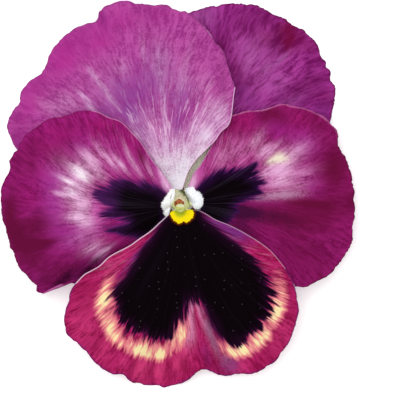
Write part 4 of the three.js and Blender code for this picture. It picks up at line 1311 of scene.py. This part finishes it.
def make_stamens():
    """Each stamen is two pollen sacs under a brown-orange flap that bends in over the style."""
    finishes = stamen_finishes()
    for k in range(ANTHERS):
        angle = math.radians(90 + 360 / ANTHERS * k)
        out = Vector((math.cos(angle), math.sin(angle), 0))
        side = Vector((-out.y, out.x, 0))
        foot = RECEPTACLE + out * FEET_RING + up(FEET_HEIGHT)
        head = CROWN + out * CROWN_RING
        stand = standing((head - foot).normalized(), side)
        bm = bmesh.new()
        for way in (-1, 1):
            centre = (foot + head) / 2 + side * SAC_SHIFT * way
            size = (*SAC, (head - foot).length / 2 + SAC_OVERLAP)
            ball(bm, centre, size, stand, detail=(14, 14))
        end = mix(head, CROWN, FLAP_REACH) + up(FLAP_RISE)
        fold = standing((end - head).normalized(), side)
        size = (*FLAP, (end - head).length / 2 + FLAP_OVERLAP)
        ball(bm, (head + end) / 2 + up(FLAP_LIFT), size, fold, detail=(14, 10), material=1)
        piece(f"stamen_{k + 1}", bm, finishes, [f"anther_{k + 1}"])


make_stamens()

# ---- Calyx and stalk -------------------------------------------------------------------------

SEPALS = {"top": 90, "left": 158, "lower_left": 226, "lower_right": 314, "right": 22}  # degrees

# Along a sepal, from its ear to its tip: distance from the receptacle's middle, height, half width.
SEPAL_LINE = [
    (4.5, -8.1, 0.5), (4.1, -7.5, 1), (3.6, -6.7, 1.15), (3.65, -5.8, 1.2), (4.4, -4.8, 1.5),
    (6, -3.9, 2), (8.4, -3.2, 2.15), (10.6, -2.9, 1.7), (12.4, -2.9, 1), (13.8, -3.1, 0.3),
]
SEPAL_THICKNESS = 0.4
SEPAL_KEEL = 0.35              # how deep its middle is folded
SEPAL_WAVE = 0.12


def sepal_finish():
    finish = Finish("calyx", roughness=0.5, Specular_IOR_Level=0.35)
    veins = finish.node("ShaderNodeUVMap", {"uv_map": "veins"}, {})
    across = finish.along(veins, "X")
    along = finish.along(veins, "Y")
    streak = finish.noise(finish.point(across * 22, along * 3), detail=2)
    colour = finish.blend(streak, paint(86, 116, 46), paint(120, 148, 70))
    edge = (across - 0.5) * (across - 0.5) * 4
    colour = finish.blend(edge.between(0.72, 1.0), colour, paint(166, 182, 118))
    colour = finish.blend(along.between(0.75, 1.0) * 0.5, colour, paint(120, 84, 84))
    return finish.show(colour, streak, 0.08)


def make_sepals():
    skin = sepal_finish()
    for name, degrees in SEPALS.items():
        bm, u, v = sheet(columns=20, rows=60)
        out, height, half = on_curve(SEPAL_LINE, v).T
        side = 1 - 2 * u
        drop = SEPAL_KEEL * (1 - side * side) * half / 2
        wave = SEPAL_WAVE * waves(degrees, v, 12) * np.abs(side)
        angle = math.radians(degrees)
        move_to(bm.verts, np.column_stack([
            RECEPTACLE.x + out * math.cos(angle) - side * half * math.sin(angle),
            RECEPTACLE.y + out * math.sin(angle) + side * half * math.cos(angle),
            height - drop + wave,
        ]))
        made = piece(f"calyx_{name}", bm, [skin], [f"sepal_{name}"])
        write_shares(made.data, u, v)
        thicken(made, SEPAL_THICKNESS)


make_sepals()

STALK_RADIUS = 0.9
STALK_TAPER = 0.94             # what is left of the radius at the cut end
STALK_LEVEL = FLOOR + STALK_RADIUS + 0.08
STALK_ROUTE = [
    (RECEPTACLE.x, RECEPTACLE.y, -5.9), (0.5, 2.4, -7.4), (2.2, 4.9, STALK_LEVEL),
    (4.9, 6.5, STALK_LEVEL), (7.6, 5.2, STALK_LEVEL), (8.5, 1.5, STALK_LEVEL),
    (7.8, -5, STALK_LEVEL), (6, -14, STALK_LEVEL), (4.5, -23, STALK_LEVEL), (4.2, -29.9, STALK_LEVEL),
]
RECEPTACLE_PROFILE = [         # radius and height
    (0.02, -6.9), (1, -6.9), (2.7, -6.3), (3.05, -5.7), (2.95, -5.35), (1.75, -5.15),
    (1.65, -3.9), (0.02, -3.6),
]
BRACTS = [                     # start and tip in plan
    ((7.5, -8.6), (10.2, -7.6)), ((7.1, -8.6), (3.8, -7.6)),
]
BRACT_ARCH = 0.1
BRACT_RADIUS = 0.42


def stalk_finish():
    """Green; in the throat pale and glowing, as painted light, and darkened by painted shade on its shaded
    side.
    """
    finish = Finish("stalk_skin", roughness=0.48, Specular_IOR_Level=0.4, Emission_Strength=0.75)
    grain = finish.noise(finish.place(), scale=700.0, detail=3)
    green = finish.blend(grain, paint(98, 128, 52), paint(136, 160, 80))
    pale = finish.blend(finish.from_throat("Y").between(0.8, 2.6), INNER_GREEN, paint(206, 204, 186))
    throat = finish.blend(shaded_side(finish).between(0.9, 2.0), pale, paint(84, 88, 52))
    inner = finish.from_throat("Z").between(-5.6, -5.2)
    # Only the part in the throat glows: painted light.
    finish.glow(finish.blend(inner, BLACK, throat))
    return finish.grained(finish.blend(inner, green, throat), 2600.0, 0.06)


def bract_radius(along):
    return BRACT_RADIUS * np.sin(np.pi * along**0.7) ** 0.8


def make_stalk():
    """The receptacle, and the hooked stalk with its two small bracts."""
    bm = bmesh.new()
    tube(bm, STALK_ROUTE, lambda along: STALK_RADIUS * mix(1, STALK_TAPER, along), sides=24, rows=120)
    ends = [edge for edge in bm.edges if edge.is_boundary]
    bmesh.ops.holes_fill(bm, edges=ends, sides=0)
    line = [bm.verts.new((r + RECEPTACLE.x, RECEPTACLE.y, z)) for r, z in RECEPTACLE_PROFILE]
    edges = [bm.edges.new(pair) for pair in zip(line[:-1], line[1:])]
    bmesh.ops.spin(
        bm, geom=line + edges, cent=RECEPTACLE, axis=(0, 0, 1), angle=2 * math.pi, steps=40,
        use_merge=True,
    )
    bmesh.ops.remove_doubles(bm, verts=bm.verts, dist=0.03)
    bmesh.ops.recalc_face_normals(bm, faces=bm.faces)
    for start, tip in BRACTS:
        start = Vector((*start, STALK_LEVEL))
        tip = Vector((*tip, STALK_LEVEL))
        route = [tuple(start), tuple((start + tip) / 2 + up(BRACT_ARCH)), tuple(tip)]
        tube(bm, route, bract_radius, sides=12, rows=16)
    piece("hooked_stalk", bm, [stalk_finish()], ["stalk"])


make_stalk()

# ---- Surface, light and camera ---------------------------------------------------------------

WHITE = (1.0, 1.0, 1.0, 1.0)
PAPER = [(0.93, 0.93, 0.93, 1.0), (0.95, 0.95, 0.95, 1.0)]
LAMP_PLACE = Vector((-0.16, 0.2, 0.55))  # metres, as are the next two
PICTURE_WIDTH = 0.1            # what the picture is across, in the plane of the petals
PICTURE_PLANE = 0.0055         # and that plane's height
PICTURE_MIDDLE = Vector((4.5, 1.0, 0))  # millimetres from the throat
LENS = 1000.0                  # long, for almost no perspective
SENSOR = 36.0


def make_floor():
    bm = bmesh.new()
    bmesh.ops.create_grid(bm, x_segments=1, y_segments=1, size=1.5)
    floor = linked("floor", mesh_of("floor", bm))
    glow = {"Emission_Color": WHITE, "Emission_Strength": 0.3}
    finish = Finish("paper", roughness=0.9, Specular_IOR_Level=0.1, **glow)
    grain = finish.noise(finish.place(), scale=300.0)
    floor.data.materials.append(finish.show(finish.blend(grain, *PAPER)))


def make_light():
    """White light from all round, and a large lamp at the upper left."""
    world = bpy.data.worlds.new("studio")
    bpy.context.scene.world = world
    world.use_nodes = True
    sky = world.node_tree.nodes["Background"]
    sky.inputs["Color"].default_value = WHITE
    sky.inputs["Strength"].default_value = 0.9
    lamp = bpy.data.lights.new("softbox", "AREA")
    lamp.shape = "DISK"
    lamp.size = 0.6
    lamp.energy = 1.7
    softbox = linked("softbox", lamp)
    softbox.location = LAMP_PLACE
    softbox.rotation_euler = (-LAMP_PLACE).to_track_quat("-Z", "Y").to_euler()


def make_camera():
    """Straight above the bloom, looking down."""
    camera = bpy.data.cameras.new("camera")
    camera.lens = LENS
    camera.sensor_width = SENSOR
    camera.clip_start = 0.01
    seen = linked("camera", camera)
    spot = (THROAT + PICTURE_MIDDLE) * MM
    seen.location = (spot.x, spot.y, PICTURE_PLANE + PICTURE_WIDTH * LENS / SENSOR)
    bpy.context.scene.camera = seen


make_floor()
make_light()
make_camera()
bpy.context.scene.view_settings.view_transform = "Standard"
